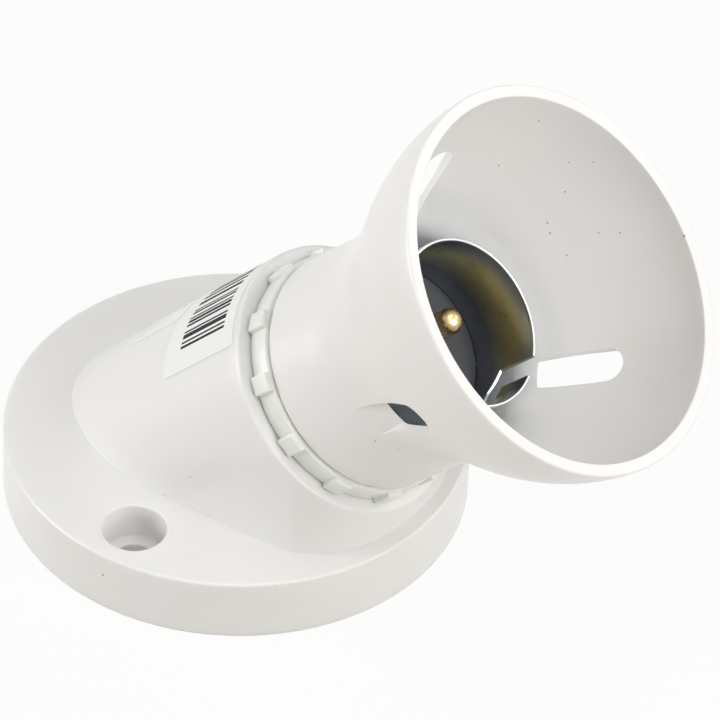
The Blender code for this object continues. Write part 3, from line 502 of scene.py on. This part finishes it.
def moulded(name, colour, roughness, places):
    """Glossy moulded plastic: a faint cloudy tone, a slightly uneven gloss, a soft ripple and specks."""
    finish, nodes, links, shader = new_finish(name, colour, roughness)
    warmer = tuple(value * share for value, share in zip(colour, (0.985, 0.972, 0.955)))
    tone = blend_colours(nodes, links, mottle(nodes, links, 55.0), colour, warmer)
    gloss = mottle(nodes, links, 90.0, roughness - 0.02, roughness + 0.02)
    ripple = mottle(nodes, links, 150.0, detail=1.0)
    links.new(specks(nodes, links, tone, places), shader.inputs["Base Color"])
    links.new(gloss, shader.inputs["Roughness"])
    dimple(nodes, links, shader, ripple, 0.1, 0.01)
    shader.inputs["IOR"].default_value = 1.5
    shader.inputs["Coat Weight"].default_value = 0.15
    shader.inputs["Coat Roughness"].default_value = 0.08
    shader.inputs["Subsurface Weight"].default_value = 0.4
    shader.inputs["Subsurface Radius"].default_value = (1.0, 0.95, 0.85)
    shader.inputs["Subsurface Scale"].default_value = 0.0014
    return finish


# Each speck is a dark grain in the plastic: its place and its radius.
housing_specks = [
    (-14.49, -17.88, 15.02, 0.16),
    (-18.6, -17.59, 9.62, 0.14),
    (-19.86, -31.85, 5.87, 0.2),
    (2.59, -25.08, 9.09, 0.16),
    (12.34, -1.79, 11.81, 0.2),
]
housing.data.materials.append(moulded("white_moulding", WHITE, 0.3, housing_specks))
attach(housing, "holder")
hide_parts("base_housing")

# The skirt is one white moulding: a threaded spigot, a barrel that rests on the lock ring, and a bell.
# Three long slots are cored through the bell from its sides, each with a ramp that runs out on the barrel.
SKIRT_WHITE = (0.848, 0.838, 0.826)
SPIGOT_RADIUS = 14.2
SPIGOT_BACK = 29.2
SPIGOT_THREAD_BACK = 29.6
SPIGOT_THREAD_FRONT = 38.8
SPIGOT_THREAD_DEPTH = 0.35
SPIGOT_BORE = 12.2
SHOULDER_AT = 39.1
BARREL_RADIUS = 16.5
BARREL_BORE = 14.5
BARREL_STEP_AT = 44.0
MOUTH_AT = 79.1
BELL_LENGTH = 23.1
MOUTH_RADIUS = 26.6
MOUTH_ROUND = 0.25
BELL_POWER = 1.87
FILLET_BACK = 48.8
FILLET_FRONT = 62.47
FILLET_END_SLOPE = 0.6134
INNER_MOUTH_RADIUS = 24.9
INNER_MOUTH_ROUND = 0.17
INNER_ROOT_RADIUS = 16.6
INNER_POWER = 1.6
INNER_STEP_BACK = 52.6
INNER_STEP_LENGTH = 4.8
INNER_STEP_SLOPE = 0.554
SLOT_TURNS = (-26.5, 93.5, 213.5)
SLOT_BACK = 55.0
SLOT_END_CENTRE = 64.3
SLOT_END_LENGTH = 2.3
SLOT_INNER_HALF = 2.25
SLOT_OUTER_HALF = 2.75
RAMP_START = 48.2
RAMP_END = 55.2
skirt_angle = np.radians(np.linspace(0.0, 360.0, 360, endpoint=False) + 0.25)


def bell(root_radius, mouth_radius, power, end, rows):
    """Radius by distance, from the end to the mouth: the flare times one less a power of the way back."""
    at = np.linspace(end, MOUTH_AT, rows)
    return root_radius + (mouth_radius - root_radius) * (1 - ((MOUTH_AT - at) / BELL_LENGTH) ** power), at


# The outer root is a parabola from the barrel to the flare. The inner one is a cubic from the barrel's bore.
flare_radius, flare_at = bell(BARREL_RADIUS, MOUTH_RADIUS, BELL_POWER, FILLET_FRONT, 30)
root_back = np.linspace(1.0, 0.0, 24)[:-1]
root_rise = flare_radius[0] - BARREL_RADIUS
root_corner = flare_at[0] - root_rise / FILLET_END_SLOPE
root_at = (1 - root_back) ** 2 * flare_at[0] + 2 * root_back * (1 - root_back) * root_corner
root_at = root_at + root_back**2 * FILLET_BACK
inner_radius, inner_at = bell(
    INNER_ROOT_RADIUS, INNER_MOUTH_RADIUS, INNER_POWER, INNER_STEP_BACK + INNER_STEP_LENGTH, 34
)
inner_share = np.linspace(1.0, 0.0, 16)[1:]
inner_step = BARREL_BORE + (inner_radius[0] - BARREL_BORE) * rise(inner_share)
inner_step = inner_step + INNER_STEP_LENGTH * INNER_STEP_SLOPE * inner_share**2 * (inner_share - 1)
rim_turn = np.linspace(0.1, np.pi / 2, 6)
rim_radius = MOUTH_RADIUS - MOUTH_ROUND * (1 - np.cos(rim_turn))
rim_at = MOUTH_AT - MOUTH_ROUND * (1 - np.sin(rim_turn))
inner_rim_radius = INNER_MOUTH_RADIUS + INNER_MOUTH_ROUND * (1 - np.sin(rim_turn))
inner_rim_at = MOUTH_AT - INNER_MOUTH_ROUND * (1 - np.cos(rim_turn))
spigot_end_radius = [SPIGOT_BORE + 0.15, SPIGOT_RADIUS - 0.3, SPIGOT_RADIUS - 0.1, SPIGOT_RADIUS]
spigot_end_at = [SPIGOT_BACK, SPIGOT_BACK, SPIGOT_BACK + 0.07, SPIGOT_BACK + 0.3]
shoulder_radius = [SPIGOT_RADIUS, SPIGOT_RADIUS + 0.1]
shoulder_radius += [BARREL_RADIUS - 0.3, BARREL_RADIUS - 0.09, BARREL_RADIUS]
shoulder_at = [SHOULDER_AT - 0.1, SHOULDER_AT, SHOULDER_AT, SHOULDER_AT + 0.09, SHOULDER_AT + 0.3]
seat_radius = [BARREL_BORE - 0.1, BARREL_BORE - 0.3, SPIGOT_BORE + 0.2, SPIGOT_BORE, SPIGOT_BORE, SPIGOT_BORE]
seat_at = [BARREL_STEP_AT + 0.1, BARREL_STEP_AT, BARREL_STEP_AT, BARREL_STEP_AT - 0.2]
seat_at += [40.0, SPIGOT_BACK + 0.15]
skirt_rows = np.concatenate(
    [
        circles(spigot_end_radius, spigot_end_at, skirt_angle),
        thread(
            SPIGOT_RADIUS,
            -SPIGOT_THREAD_DEPTH,
            SPIGOT_THREAD_BACK,
            SPIGOT_THREAD_FRONT,
            THREAD_RUN_OUT,
            48,
            skirt_angle,
        ),
        circles(shoulder_radius, shoulder_at, skirt_angle),
        circles(BARREL_RADIUS, np.linspace(SHOULDER_AT + 0.7, FILLET_BACK - 0.4, 8), skirt_angle),
        circles(BARREL_RADIUS + (1 - root_back) ** 2 * root_rise, root_at, skirt_angle),
        circles(flare_radius[:-1], flare_at[:-1], skirt_angle),
        circles(rim_radius, rim_at, skirt_angle),
        circles([MOUTH_RADIUS - 0.4, INNER_MOUTH_RADIUS + 0.3], MOUTH_AT, skirt_angle),
        circles(inner_rim_radius, inner_rim_at, skirt_angle),
        circles(inner_radius[::-1][1:], inner_at[::-1][1:], skirt_angle),
        circles(inner_step, INNER_STEP_BACK + INNER_STEP_LENGTH * inner_share, skirt_angle),
        circles(BARREL_BORE, np.linspace(INNER_STEP_BACK - 1.6, BARREL_STEP_AT + 0.4, 5), skirt_angle),
        circles(seat_radius, seat_at, skirt_angle),
    ]
)
skirt_faces = ring_faces(len(skirt_rows), len(skirt_angle), True)
skirt = piece("bell_skirt", skirt_rows, skirt_faces, WALL_SMOOTH_BELOW)


def neck_local(x, y, distance, turn):
    """A place from x towards the turn's direction and y a right angle on from it, about the neck's axis."""
    x, y, distance = np.broadcast_arrays(x, y, distance)
    return on_neck(np.hypot(x, y), turn + np.arctan2(y, x), distance)


slot_end = np.radians(np.linspace(0.0, 180.0, 19))
slot_y = np.concatenate([np.cos(slot_end), [-1.0, 1.0]])
slot_at = np.concatenate([SLOT_END_CENTRE + SLOT_END_LENGTH * np.sin(slot_end), [SLOT_BACK, SLOT_BACK]])
cores = []
for slot_turn in np.radians(SLOT_TURNS):
    near = neck_local(16.2, SLOT_INNER_HALF * slot_y, slot_at, slot_turn)
    far = neck_local(MOUTH_RADIUS + 1.0, SLOT_OUTER_HALF * slot_y, slot_at, slot_turn)
    cores.append(prism("slot_core", near, far))
    deep = neck_local([16.15, 16.15, 19.0, 19.0], [-2.2, 2.2, 2.36, -2.36], RAMP_END, slot_turn)
    shallow = neck_local([16.63, 16.63, 17.5, 17.5], [-2.6, 2.6, 2.7, -2.7], RAMP_START, slot_turn)
    cores.append(prism("ramp_core", shallow, deep))
carve(skirt, "DIFFERENCE", *cores, smooth_below=WALL_SMOOTH_BELOW)
skirt_specks = [
    (12.04, -16.02, 32.07, 0.17),
    (15.27, -15.32, 31.59, 0.12),
    (16.50, 19.23, 63.07, 0.16),
    (19.79, 22.36, 55.16, 0.14),
    (22.80, 23.53, 55.61, 0.13),
    (11.92, 17.44, 54.89, 0.14),
    (19.72, 21.94, 50.40, 0.15),
    (18.20, 20.31, 45.55, 0.16),
    (18.78, 20.08, 44.18, 0.17),
    (21.63, 19.81, 41.69, 0.14),
    (24.97, 22.01, 45.48, 0.13),
    (27.82, 22.61, 46.21, 0.15),
    (36.82, 23.04, 49.18, 0.22),
]
skirt.data.materials.append(moulded("white_skirt_moulding", SKIRT_WHITE, 0.3, skirt_specks))
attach(skirt, "skirt")
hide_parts("skirt")

# The lock ring is a thin moulding, slightly green beside the white, with twelve low teeth for the fingers.
# It is screwed up against the neck's lip on the skirt's spigot.
RING_COLOUR = (0.83, 0.845, 0.81)
RING_TEETH = 12
RING_FIRST_TOOTH = np.radians(-2.4)
RING_RADIUS = 16.9
TOOTH_HEIGHT = 0.7
TOOTH_HALF_WIDTH = 1.42
TOOTH_FLANK_START = 1.38
TOOTH_FLANK_WIDTH = 0.15
RING_BACK = 35.85
RING_FRONT = 38.85
RING_BORE = 14.45
RING_THREAD_DEPTH = 0.3
# A tooth's columns stand closest on its two flanks. Even ones fill the gap to the next tooth.
tooth_pitch = 2 * np.pi * RING_RADIUS / RING_TEETH
tooth_side = np.array([TOOTH_HALF_WIDTH, 1.37, 1.34, 1.31, 1.28, 1.25, 1.21, 1.0, 0.5])
tooth_arc = np.concatenate([-tooth_side, [0.0], tooth_side[::-1]])
gap_arc = np.linspace(TOOTH_HALF_WIDTH, tooth_pitch - TOOTH_HALF_WIDTH, 11)[1:-1]
tooth_angle = (np.concatenate([tooth_arc, gap_arc]) / RING_RADIUS)[None, :]
tooth_turn = RING_FIRST_TOOTH + 2 * np.pi / RING_TEETH * np.arange(RING_TEETH)[:, None]
ring_angle = (tooth_turn + tooth_angle).ravel()
tooth_rise = rise(np.clip((TOOTH_FLANK_START - np.abs(tooth_arc)) / TOOTH_FLANK_WIDTH, 0.0, 1.0))
ring_rise = np.tile(np.concatenate([tooth_rise, np.zeros(len(gap_arc))]), RING_TEETH)
edge_inset = np.array([0.25, 0.1, 0.03, 0.0])
edge_depth = np.array([0.0, 0.04, 0.11, 0.23])
ring_inset = np.concatenate([edge_inset, [0.0], edge_inset[::-1]])[:, None]
ring_middle = (RING_BACK + RING_FRONT) / 2
ring_at = np.concatenate([RING_BACK + edge_depth, [ring_middle], RING_FRONT - edge_depth[::-1]])
bore_edge_radius = np.array([RING_BORE + 1.15, RING_BORE + 0.25, RING_BORE + 0.08, RING_BORE])
bore_edge_depth = np.array([0.0, 0.0, 0.08, 0.25])
ring_rows = np.concatenate(
    [
        on_neck(RING_RADIUS + TOOTH_HEIGHT * ring_rise - ring_inset, ring_angle, ring_at[:, None]),
        circles(bore_edge_radius, RING_FRONT - bore_edge_depth, ring_angle),
        thread(RING_BORE, RING_THREAD_DEPTH, RING_FRONT - 0.35, RING_BACK + 0.35, 0.4, 14, ring_angle),
        circles(bore_edge_radius[::-1], RING_BACK + bore_edge_depth[::-1], ring_angle),
    ]
)
lock_ring = piece("toothed_lock_ring", ring_rows, ring_faces(len(ring_rows), len(ring_angle), True), 40.0)
lock_ring.data.materials.append(moulded("greenish_moulding", RING_COLOUR, 0.34, []))
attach(lock_ring, "lock_ring")
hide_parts("lock_ring")

# The sleeve is a drawn and plated steel tube with two J slots for the lamp's pins.
# It is held by its flange between the skirt's spigot and the plunger housing.
SLEEVE_COLUMNS = 320
SLEEVE_BORE = 11.3
SLEEVE_OUTER = 11.64
SLEEVE_RIM_ROUND = 0.17
SLEEVE_RIM_AT = 60.43
FLANGE_RADIUS = 13.6
FLANGE_BACK = 28.5
FLANGE_FRONT = 28.95
CATCH_TURNS = np.radians([13.5, 193.5])
sleeve_angle = np.radians(np.linspace(0.0, 360.0, SLEEVE_COLUMNS, endpoint=False) + 0.4)
sleeve_profile = [
    (SLEEVE_BORE, FLANGE_BACK + 0.1),
    (SLEEVE_BORE + 0.1, FLANGE_BACK),
    (FLANGE_RADIUS - 0.05, FLANGE_BACK),
    (FLANGE_RADIUS, FLANGE_BACK + 0.1),
    (FLANGE_RADIUS, FLANGE_FRONT - 0.1),
    (FLANGE_RADIUS - 0.05, FLANGE_FRONT),
    (SLEEVE_OUTER + 0.31, FLANGE_FRONT),
    (SLEEVE_OUTER + 0.16, FLANGE_FRONT + 0.1),
    (SLEEVE_OUTER + 0.11, FLANGE_FRONT + 0.3),
    (SLEEVE_OUTER + 0.11, 33.0),
]
sleeve_profile += [(SLEEVE_OUTER, at) for at in np.linspace(35.0, 60.0, 13)]
for turn in np.linspace(0, np.pi, 9):
    rim_wall = SLEEVE_BORE + SLEEVE_RIM_ROUND * (1 + np.cos(turn))
    sleeve_profile.append((rim_wall, SLEEVE_RIM_AT + SLEEVE_RIM_ROUND * np.sin(turn)))
sleeve_profile += [(SLEEVE_BORE, at) for at in np.linspace(60.0, 30.0, 14)]
sleeve_rows = circles(*np.array(sleeve_profile).T, sleeve_angle)
sleeve = piece("drawn_sleeve", sleeve_rows, ring_faces(len(sleeve_rows), SLEEVE_COLUMNS, True))
# A J slot's outline: the way in from the mouth, the way round at its foot, and the pocket for the pin.
catch_side = [-4.299, 1.187, 4.299, 4.299, 1.187, 1.187, -1.187, -1.187, -4.299]
catch_at = [52.2, 52.2, 53.9, 62.0, 62.0, 55.2, 55.2, 56.6, 56.6]
catches = []
for catch_turn in INSERT_TURN + CATCH_TURNS:
    near = neck_local(6.0, catch_side, catch_at, catch_turn)
    far = neck_local(13.0, catch_side, catch_at, catch_turn)
    catches.append(prism("catch", near, far))
carve(sleeve, "DIFFERENCE", *catches)


def axis_places(nodes, links):
    """Sockets for a surface point's distance along the neck and its radius from the axis, in metres."""
    where = nodes.new("ShaderNodeTexCoord")
    offset, along, foot_point, arm, reach = (nodes.new("ShaderNodeVectorMath") for _ in range(5))
    offset.operation, along.operation, foot_point.operation = "SUBTRACT", "DOT_PRODUCT", "SCALE"
    arm.operation, reach.operation = "SUBTRACT", "LENGTH"
    offset.inputs[1].default_value = tuple(NECK_ROOT * 0.001)
    along.inputs[1].default_value = tuple(ALONG)
    foot_point.inputs[0].default_value = tuple(ALONG)
    links.new(where.outputs["Object"], offset.inputs[0])
    links.new(offset.outputs["Vector"], along.inputs[0])
    links.new(along.outputs["Value"], foot_point.inputs["Scale"])
    links.new(offset.outputs["Vector"], arm.inputs[0])
    links.new(foot_point.outputs["Vector"], arm.inputs[1])
    links.new(arm.outputs["Vector"], reach.inputs[0])
    return along.outputs["Value"], reach.outputs["Value"]


# The plating's colour is painted reflection inside: the dark insert at its back, then the warm plunger side,
# then the room.
plate, plate_nodes, plate_links, plate_shader = new_finish("plated_sleeve", (0.6, 0.62, 0.66), 0.2, 1.0)
plate_along, plate_radius = axis_places(plate_nodes, plate_links)
plate_cloud = mottle(plate_nodes, plate_links, 260.0)
plate_insert_reflection = blend_colours(plate_nodes, plate_links, plate_cloud, (0.27, 0.29, 0.335), (0.23, 0.25, 0.295))
plate_plunger_reflection = blend_colours(plate_nodes, plate_links, plate_cloud, (0.72, 0.70, 0.41), (0.63, 0.61, 0.37))
plate_room_reflection = blend_colours(plate_nodes, plate_links, plate_cloud, (0.37, 0.43, 0.49), (0.32, 0.38, 0.44))
plate_painted_tone = plate_insert_reflection
for measure, low, high, painted_band_tone in (
    (plate_along, 0.0520, 0.0556, plate_plunger_reflection),
    (plate_along, 0.0566, 0.0592, plate_room_reflection),
    # Painted shade: the outer wall is a darker, bluer grey than bare plating.
    (plate_radius, 0.01150, 0.01158, (0.50, 0.56, 0.62)),
    # Painted highlight: a pale band round the sleeve's rim.
    (plate_along, 0.06028, 0.06042, (0.86, 0.87, 0.88)),
):
    painted_band_share = between(plate_nodes, plate_links, measure, low, high)
    plate_painted_tone = blend_colours(plate_nodes, plate_links, painted_band_share, plate_painted_tone, painted_band_tone)
plate_links.new(plate_painted_tone, plate_shader.inputs["Base Color"])
plate_rough = mottle(plate_nodes, plate_links, 400.0, 0.26, 0.32, 0.0)
plate_links.new(plate_rough, plate_shader.inputs["Roughness"])
sleeve.data.materials.append(plate)
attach(sleeve, "holder")
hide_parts("bayonet_sleeve")

# The plunger housing is a blue-black moulding that fills the sleeve's back and guides the two plungers.
# Its face stands 11.6 mm inside the sleeve's mouth.
GUIDE_FACE = 49.0
GUIDE_FACE_RADIUS = 11.25
GUIDE_BODY_RADIUS = 11.0
GUIDE_FLANGE_RADIUS = 13.6
GUIDE_FLANGE_FRONT = 28.25
GUIDE_BACK = 27.25
PLUNGER_OFFSET = 5.4
PILOT_OFFSET = 8.0
CORE_BACK = 26.0


def turned(name, profile, spot=(0.0, 0.0), sides=96):
    """A turned solid along the neck: pairs of radius and distance, first and last on the axis at spot."""
    around = 2 * np.pi * (np.arange(sides) + 0.5) / sides
    radius, distance = np.array(profile).T[..., None]
    across_x = spot[0] + radius[1:-1] * np.cos(around)
    across_y = spot[1] + radius[1:-1] * np.sin(around)
    rows = neck_local(across_x, across_y, distance[1:-1], INSERT_TURN)
    poles = neck_local(spot[0], spot[1], distance[[0, -1], 0], INSERT_TURN)
    points = np.concatenate([rows.reshape(-1, 3), poles])
    side = np.arange(sides)
    after = (side + 1) % sides
    last = (len(rows) - 1) * sides
    first_fan = np.stack([after, side, np.full(sides, len(points) - 2)], -1).tolist()
    last_fan = np.stack([last + side, last + after, np.full(sides, len(points) - 1)], -1).tolist()
    return piece(name, points, ring_faces(len(rows), sides, False) + first_fan + last_fan)


def clouded(name, plain, first, second, cloud_scale, roughness, metallic=0.0):
    """A finish whose colour drifts between the first and the second tone with a cloud of that scale."""
    finish, nodes, links, shader = new_finish(name, plain, roughness, metallic)
    cloud = mottle(nodes, links, cloud_scale)
    links.new(blend_colours(nodes, links, cloud, first, second), shader.inputs["Base Color"])
    return finish, nodes, links, shader


guide_profile = [
    (0.0, GUIDE_FACE),
    (10.0, GUIDE_FACE),
    (GUIDE_FACE_RADIUS - 0.06, GUIDE_FACE),
    (GUIDE_FACE_RADIUS - 0.02, GUIDE_FACE - 0.02),
    (GUIDE_FACE_RADIUS, GUIDE_FACE - 0.06),
    (GUIDE_FACE_RADIUS, GUIDE_FACE - 0.3),
    (GUIDE_FACE_RADIUS, GUIDE_FACE - 1.5),
    (GUIDE_BODY_RADIUS, GUIDE_FACE - 1.8),
    (GUIDE_BODY_RADIUS, 29.0),
    (GUIDE_BODY_RADIUS, GUIDE_FLANGE_FRONT + 0.1),
    (GUIDE_BODY_RADIUS + 0.1, GUIDE_FLANGE_FRONT),
    (GUIDE_FLANGE_RADIUS - 0.1, GUIDE_FLANGE_FRONT),
    (GUIDE_FLANGE_RADIUS, GUIDE_FLANGE_FRONT - 0.1),
    (GUIDE_FLANGE_RADIUS, GUIDE_BACK + 0.1),
    (GUIDE_FLANGE_RADIUS - 0.1, GUIDE_BACK),
    (0.0, GUIDE_BACK),
]
nose_core = [(0.0, 45.0), (2.0, 45.0), (2.0, GUIDE_FACE - 0.15), (2.05, GUIDE_FACE - 0.05)]
nose_core += [(2.2, GUIDE_FACE + 0.02), (2.2, GUIDE_FACE + 1.0), (0.0, GUIDE_FACE + 1.0)]
bore_core = [(0.0, CORE_BACK), (2.7, CORE_BACK), (2.7, 46.2), (0.0, 46.2)]
pilot_core = [(0.0, CORE_BACK), (1.4, CORE_BACK), (1.4, 32.5), (0.0, 32.5)]
guide = turned("plunger_guide", guide_profile)
guide_cores = []
for spot_y in (PLUNGER_OFFSET, -PLUNGER_OFFSET):
    guide_cores.append(turned("nose_core", nose_core, (0.0, spot_y), 40))
    guide_cores.append(turned("bore_core", bore_core, (0.0, spot_y), 40))
for spot_x in (PILOT_OFFSET, -PILOT_OFFSET):
    guide_cores.append(turned("pilot_core", pilot_core, (spot_x, 0.0), 24))
carve(guide, "DIFFERENCE", *guide_cores)
dark, dark_nodes, dark_links, dark_shader = clouded(
    "blue_black_moulding", (0.08, 0.082, 0.09), (0.074, 0.077, 0.088), (0.094, 0.096, 0.102), 300.0, 0.42
)
dark_links.new(mottle(dark_nodes, dark_links, 700.0, 0.36, 0.5), dark_shader.inputs["Roughness"])
dimple(dark_nodes, dark_links, dark_shader, mottle(dark_nodes, dark_links, 1500.0, detail=4.0), 0.4, 0.01)
guide.data.materials.append(dark)
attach(guide, "holder")
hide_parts("plunger_housing")

# Each plunger is turned from brass: a domed nose, a collar that stops on the housing's step, and a tail.
# A coil spring sits behind each collar, on the stem of its terminal.
NOSE_RADIUS = 1.85
NOSE_TIP = 54.0
COLLAR_RADIUS = 2.45
COLLAR_FRONT = 45.95
COLLAR_BACK = 44.45
TAIL_RADIUS = 1.2
TAIL_END = 42.45
brass, brass_nodes, brass_links, brass_shader = clouded(
    "turned_brass", (0.66, 0.45, 0.19), (0.86, 0.69, 0.40), (0.74, 0.55, 0.28), 400.0, 0.24, 1.0
)
brass_links.new(mottle(brass_nodes, brass_links, 800.0, 0.2, 0.34), brass_shader.inputs["Roughness"])
dimple(brass_nodes, brass_links, brass_shader, mottle(brass_nodes, brass_links, 2500.0), 0.3, 0.006)
plunger_profile = [(0.0, NOSE_TIP)]
for turn in np.linspace(np.pi / 2, 0.0, 13)[1:]:
    plunger_profile.append((NOSE_RADIUS * np.cos(turn), NOSE_TIP - NOSE_RADIUS * (1 - np.sin(turn))))
plunger_profile += [
    (NOSE_RADIUS, GUIDE_FACE),
    (NOSE_RADIUS, COLLAR_FRONT + 0.1),
    (NOSE_RADIUS + 0.1, COLLAR_FRONT),
    (COLLAR_RADIUS - 0.1, COLLAR_FRONT),
    (COLLAR_RADIUS, COLLAR_FRONT - 0.1),
    (COLLAR_RADIUS, COLLAR_BACK + 0.1),
    (COLLAR_RADIUS - 0.1, COLLAR_BACK),
    (TAIL_RADIUS + 0.1, COLLAR_BACK),
    (TAIL_RADIUS, COLLAR_BACK - 0.1),
    (TAIL_RADIUS, TAIL_END + 0.15),
    (TAIL_RADIUS - 0.15, TAIL_END),
    (0.0, TAIL_END),
]
for side_name, spot_y in (("left", PLUNGER_OFFSET), ("right", -PLUNGER_OFFSET)):
    plunger = turned(f"brass_plunger_{side_name}", plunger_profile, (0.0, spot_y), 48)
    plunger.data.materials.append(brass)
    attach(plunger, f"plunger_{side_name}")
    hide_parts(f"plunger_{side_name}")


def refinish(node_name, finish):
    """Puts the finish on a CAD node in place of its plain colour."""
    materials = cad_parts[node_name].data.materials
    materials.clear()
    materials.append(finish)


wire, wire_nodes, wire_links, wire_shader = clouded(
    "spring_wire", (0.5, 0.51, 0.53), (0.56, 0.57, 0.6), (0.42, 0.42, 0.44), 900.0, 0.28, 1.0
)
dimple(wire_nodes, wire_links, wire_shader, mottle(wire_nodes, wire_links, 3000.0), 0.3, 0.004)
for side_name in ("left", "right"):
    refinish(f"plunger_spring_{side_name}", wire)

# Behind the housing, a second blue-black moulding holds the terminals. It is keyed into the neck's ledge
# and held by two slotted screws. Each terminal is a brass pillar, and two grub screws clamp its wire.
screw_steel, screw_nodes, screw_links, screw_shader = clouded(
    "plated_screws", (0.6, 0.61, 0.63), (0.66, 0.67, 0.69), (0.48, 0.49, 0.5), 1200.0, 0.3, 1.0
)
dimple(screw_nodes, screw_links, screw_shader, mottle(screw_nodes, screw_links, 3000.0), 0.3, 0.005)
refinish("terminal_block", dark)
for side_name in ("left", "right"):
    refinish(f"terminal_{side_name}", brass)
    for screw_end in ("back", "front"):
        refinish(f"clamp_screw_{side_name}_{screw_end}", screw_steel)
for screw_place in ("upper", "lower"):
    refinish(f"block_screw_{screw_place}", screw_steel)

# The larger sticker is white paper with plain dark bars; it is wrapped over the neck's top.
# The smaller one is a clear, slightly green film. Both are stuck on by their whole undersides.
STICKER_LIFT = -0.01
BAR_STICKER_BACK = 19.1
BAR_STICKER_FRONT = 34.4
BAR_STICKER_LOW = -50.0
BAR_STICKER_HIGH = 37.7
BAR_EDGES = [(27.1, 26.0), (24.8, 23.7), (22.3, 19.9), (19.4, 18.2), (16.0, 14.6), (13.8, 12.1), (11.5, 10.5)]
BAR_EDGES += [(8.9, 7.4), (6.8, 5.6), (3.0, 0.7), (-1.6, -3.6), (-5.8, -8.0), (-9.2, -10.4), (-11.2, -13.4)]
BAR_INK = (0.012, 0.011, 0.012)


def sticker(name, back, front, low, high, thickness, corner):
    """A thin closed sheet on the neck's cone, from back to front and from the low to the high degree.

    Each column is shortened at both ends by the corner's circle: the corner less the root of its square
    less the square of what is left of it. The lift is from the neck to the sheet's underside.
    """
    columns, rows = 97, 25
    spread = np.linspace(-1.0, 1.0, columns)
    across = np.radians((low + high) / 2 + (high - low) / 2 * np.sin(spread * np.pi / 2))[None, :]
    inward = np.minimum(across - np.radians(low), np.radians(high) - across) * NECK_FOOT_RADIUS
    cut = corner - np.sqrt(np.clip(corner**2 - np.clip(corner - inward, 0.0, None) ** 2, 0.0, None))
    along_at = back + cut + np.linspace(0.0, 1.0, rows)[:, None] * (front - back - 2 * cut)
    foot_at = (BASE_HEIGHT - NECK_FOOT_RADIUS * np.cos(across) * UPWARD[2]) / ALONG[2]
    climb = (along_at - foot_at) / (LIP_CENTRE_AT - foot_at)
    radius = NECK_FOOT_RADIUS + (NECK_LIP_RADIUS - NECK_FOOT_RADIUS) * climb
    under = on_neck(radius + STICKER_LIFT, across, along_at)
    over = on_neck(radius + STICKER_LIFT + thickness, across, along_at)
    number = np.arange(rows * columns).reshape(rows, columns)
    quads = np.stack([number[:-1, :-1], number[:-1, 1:], number[1:, 1:], number[1:, :-1]], -1).reshape(-1, 4)
    border = np.concatenate([number[0, :], number[1:, -1], number[-1, -2::-1], number[-2:0:-1, 0]])
    after = np.roll(border, -1)
    count = rows * columns
    edge = np.stack([after, border, border + count, after + count], -1)
    faces = np.concatenate([quads[:, ::-1], quads + count, edge]).tolist()
    result = piece(name, np.concatenate([under.reshape(-1, 3), over.reshape(-1, 3)]), faces)
    layer = result.data.uv_layers.new(name="sticker")
    loop_vertex = np.empty(len(result.data.loops), int)
    result.data.loops.foreach_get("vertex_index", loop_vertex)
    across_share = (across - np.radians(low)) / np.radians(high - low)
    along_share = (along_at - back) / (front - back)
    spots = np.stack(np.broadcast_arrays(across_share, along_share), -1)
    spots = np.concatenate([spots.reshape(-1, 2)] * 2)[loop_vertex]
    layer.uv.foreach_set("vector", spots.ravel())
    return result


bar_sticker = sticker(
    "bar_sticker",
    back=BAR_STICKER_BACK,
    front=BAR_STICKER_FRONT,
    low=BAR_STICKER_LOW,
    high=BAR_STICKER_HIGH,
    thickness=0.08,
    corner=0.3,
)
paper, paper_nodes, paper_links, paper_shader = new_finish("label_paper", (0.88, 0.88, 0.87), 0.65)
paper_uv = paper_nodes.new("ShaderNodeUVMap")
paper_uv.uv_map = "sticker"
paper_parts = paper_nodes.new("ShaderNodeSeparateXYZ")
paper_links.new(paper_uv.outputs["UV"], paper_parts.inputs[0])
paper_bars = paper_nodes.new("ShaderNodeValToRGB")
ramp = paper_bars.color_ramp
ramp.interpolation = "CONSTANT"
sticker_span = BAR_STICKER_HIGH - BAR_STICKER_LOW
bar_places = sorted((edge - BAR_STICKER_LOW) / sticker_span for pair in BAR_EDGES for edge in pair)
ramp.elements[0].position = 0.0
ramp.elements[0].color = (0.0, 0.0, 0.0, 1.0)
ramp.elements[1].position = bar_places[0]
ramp.elements[1].color = (1.0, 1.0, 1.0, 1.0)
for index, position in enumerate(bar_places[1:]):
    tone = float(index % 2)
    ramp.elements.new(position).color = (tone, tone, tone, 1.0)
paper_links.new(paper_parts.outputs["X"], paper_bars.inputs["Fac"])
paper_low = between(paper_nodes, paper_links, paper_parts.outputs["Y"], 0.222, 0.224)
paper_high = between(paper_nodes, paper_links, paper_parts.outputs["Y"], 0.852, 0.850)
paper_in = combine(paper_nodes, paper_links, "MULTIPLY", paper_low, paper_high)
paper_ink = combine(paper_nodes, paper_links, "MULTIPLY", paper_in, paper_bars.outputs["Color"])
paper_fibre = mottle(paper_nodes, paper_links, 1800.0, detail=4.0)
paper_white = blend_colours(paper_nodes, paper_links, paper_fibre, (0.90, 0.90, 0.885), (0.87, 0.87, 0.855))
paper_tone = blend_colours(paper_nodes, paper_links, paper_ink, paper_white, BAR_INK)
paper_links.new(paper_tone, paper_shader.inputs["Base Color"])
dimple(paper_nodes, paper_links, paper_shader, paper_fibre, 0.25, 0.01)
paper_shader.inputs["Specular IOR Level"].default_value = 0.25
bar_sticker.data.materials.append(paper)
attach(bar_sticker, "holder")
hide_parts("bar_label")

film_sticker = sticker(
    "film_sticker", back=7.2, front=18.7, low=-46.0, high=6.0, thickness=0.06, corner=1.3
)
film, film_nodes, film_links, film_shader = clouded(
    "label_film", (0.8, 0.82, 0.76), (0.84, 0.85, 0.81), (0.82, 0.84, 0.79), 200.0, 0.22
)
dimple(film_nodes, film_links, film_shader, mottle(film_nodes, film_links, 700.0), 0.3, 0.012)
film_sticker.data.materials.append(film)
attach(film_sticker, "holder")
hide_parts("clear_label")
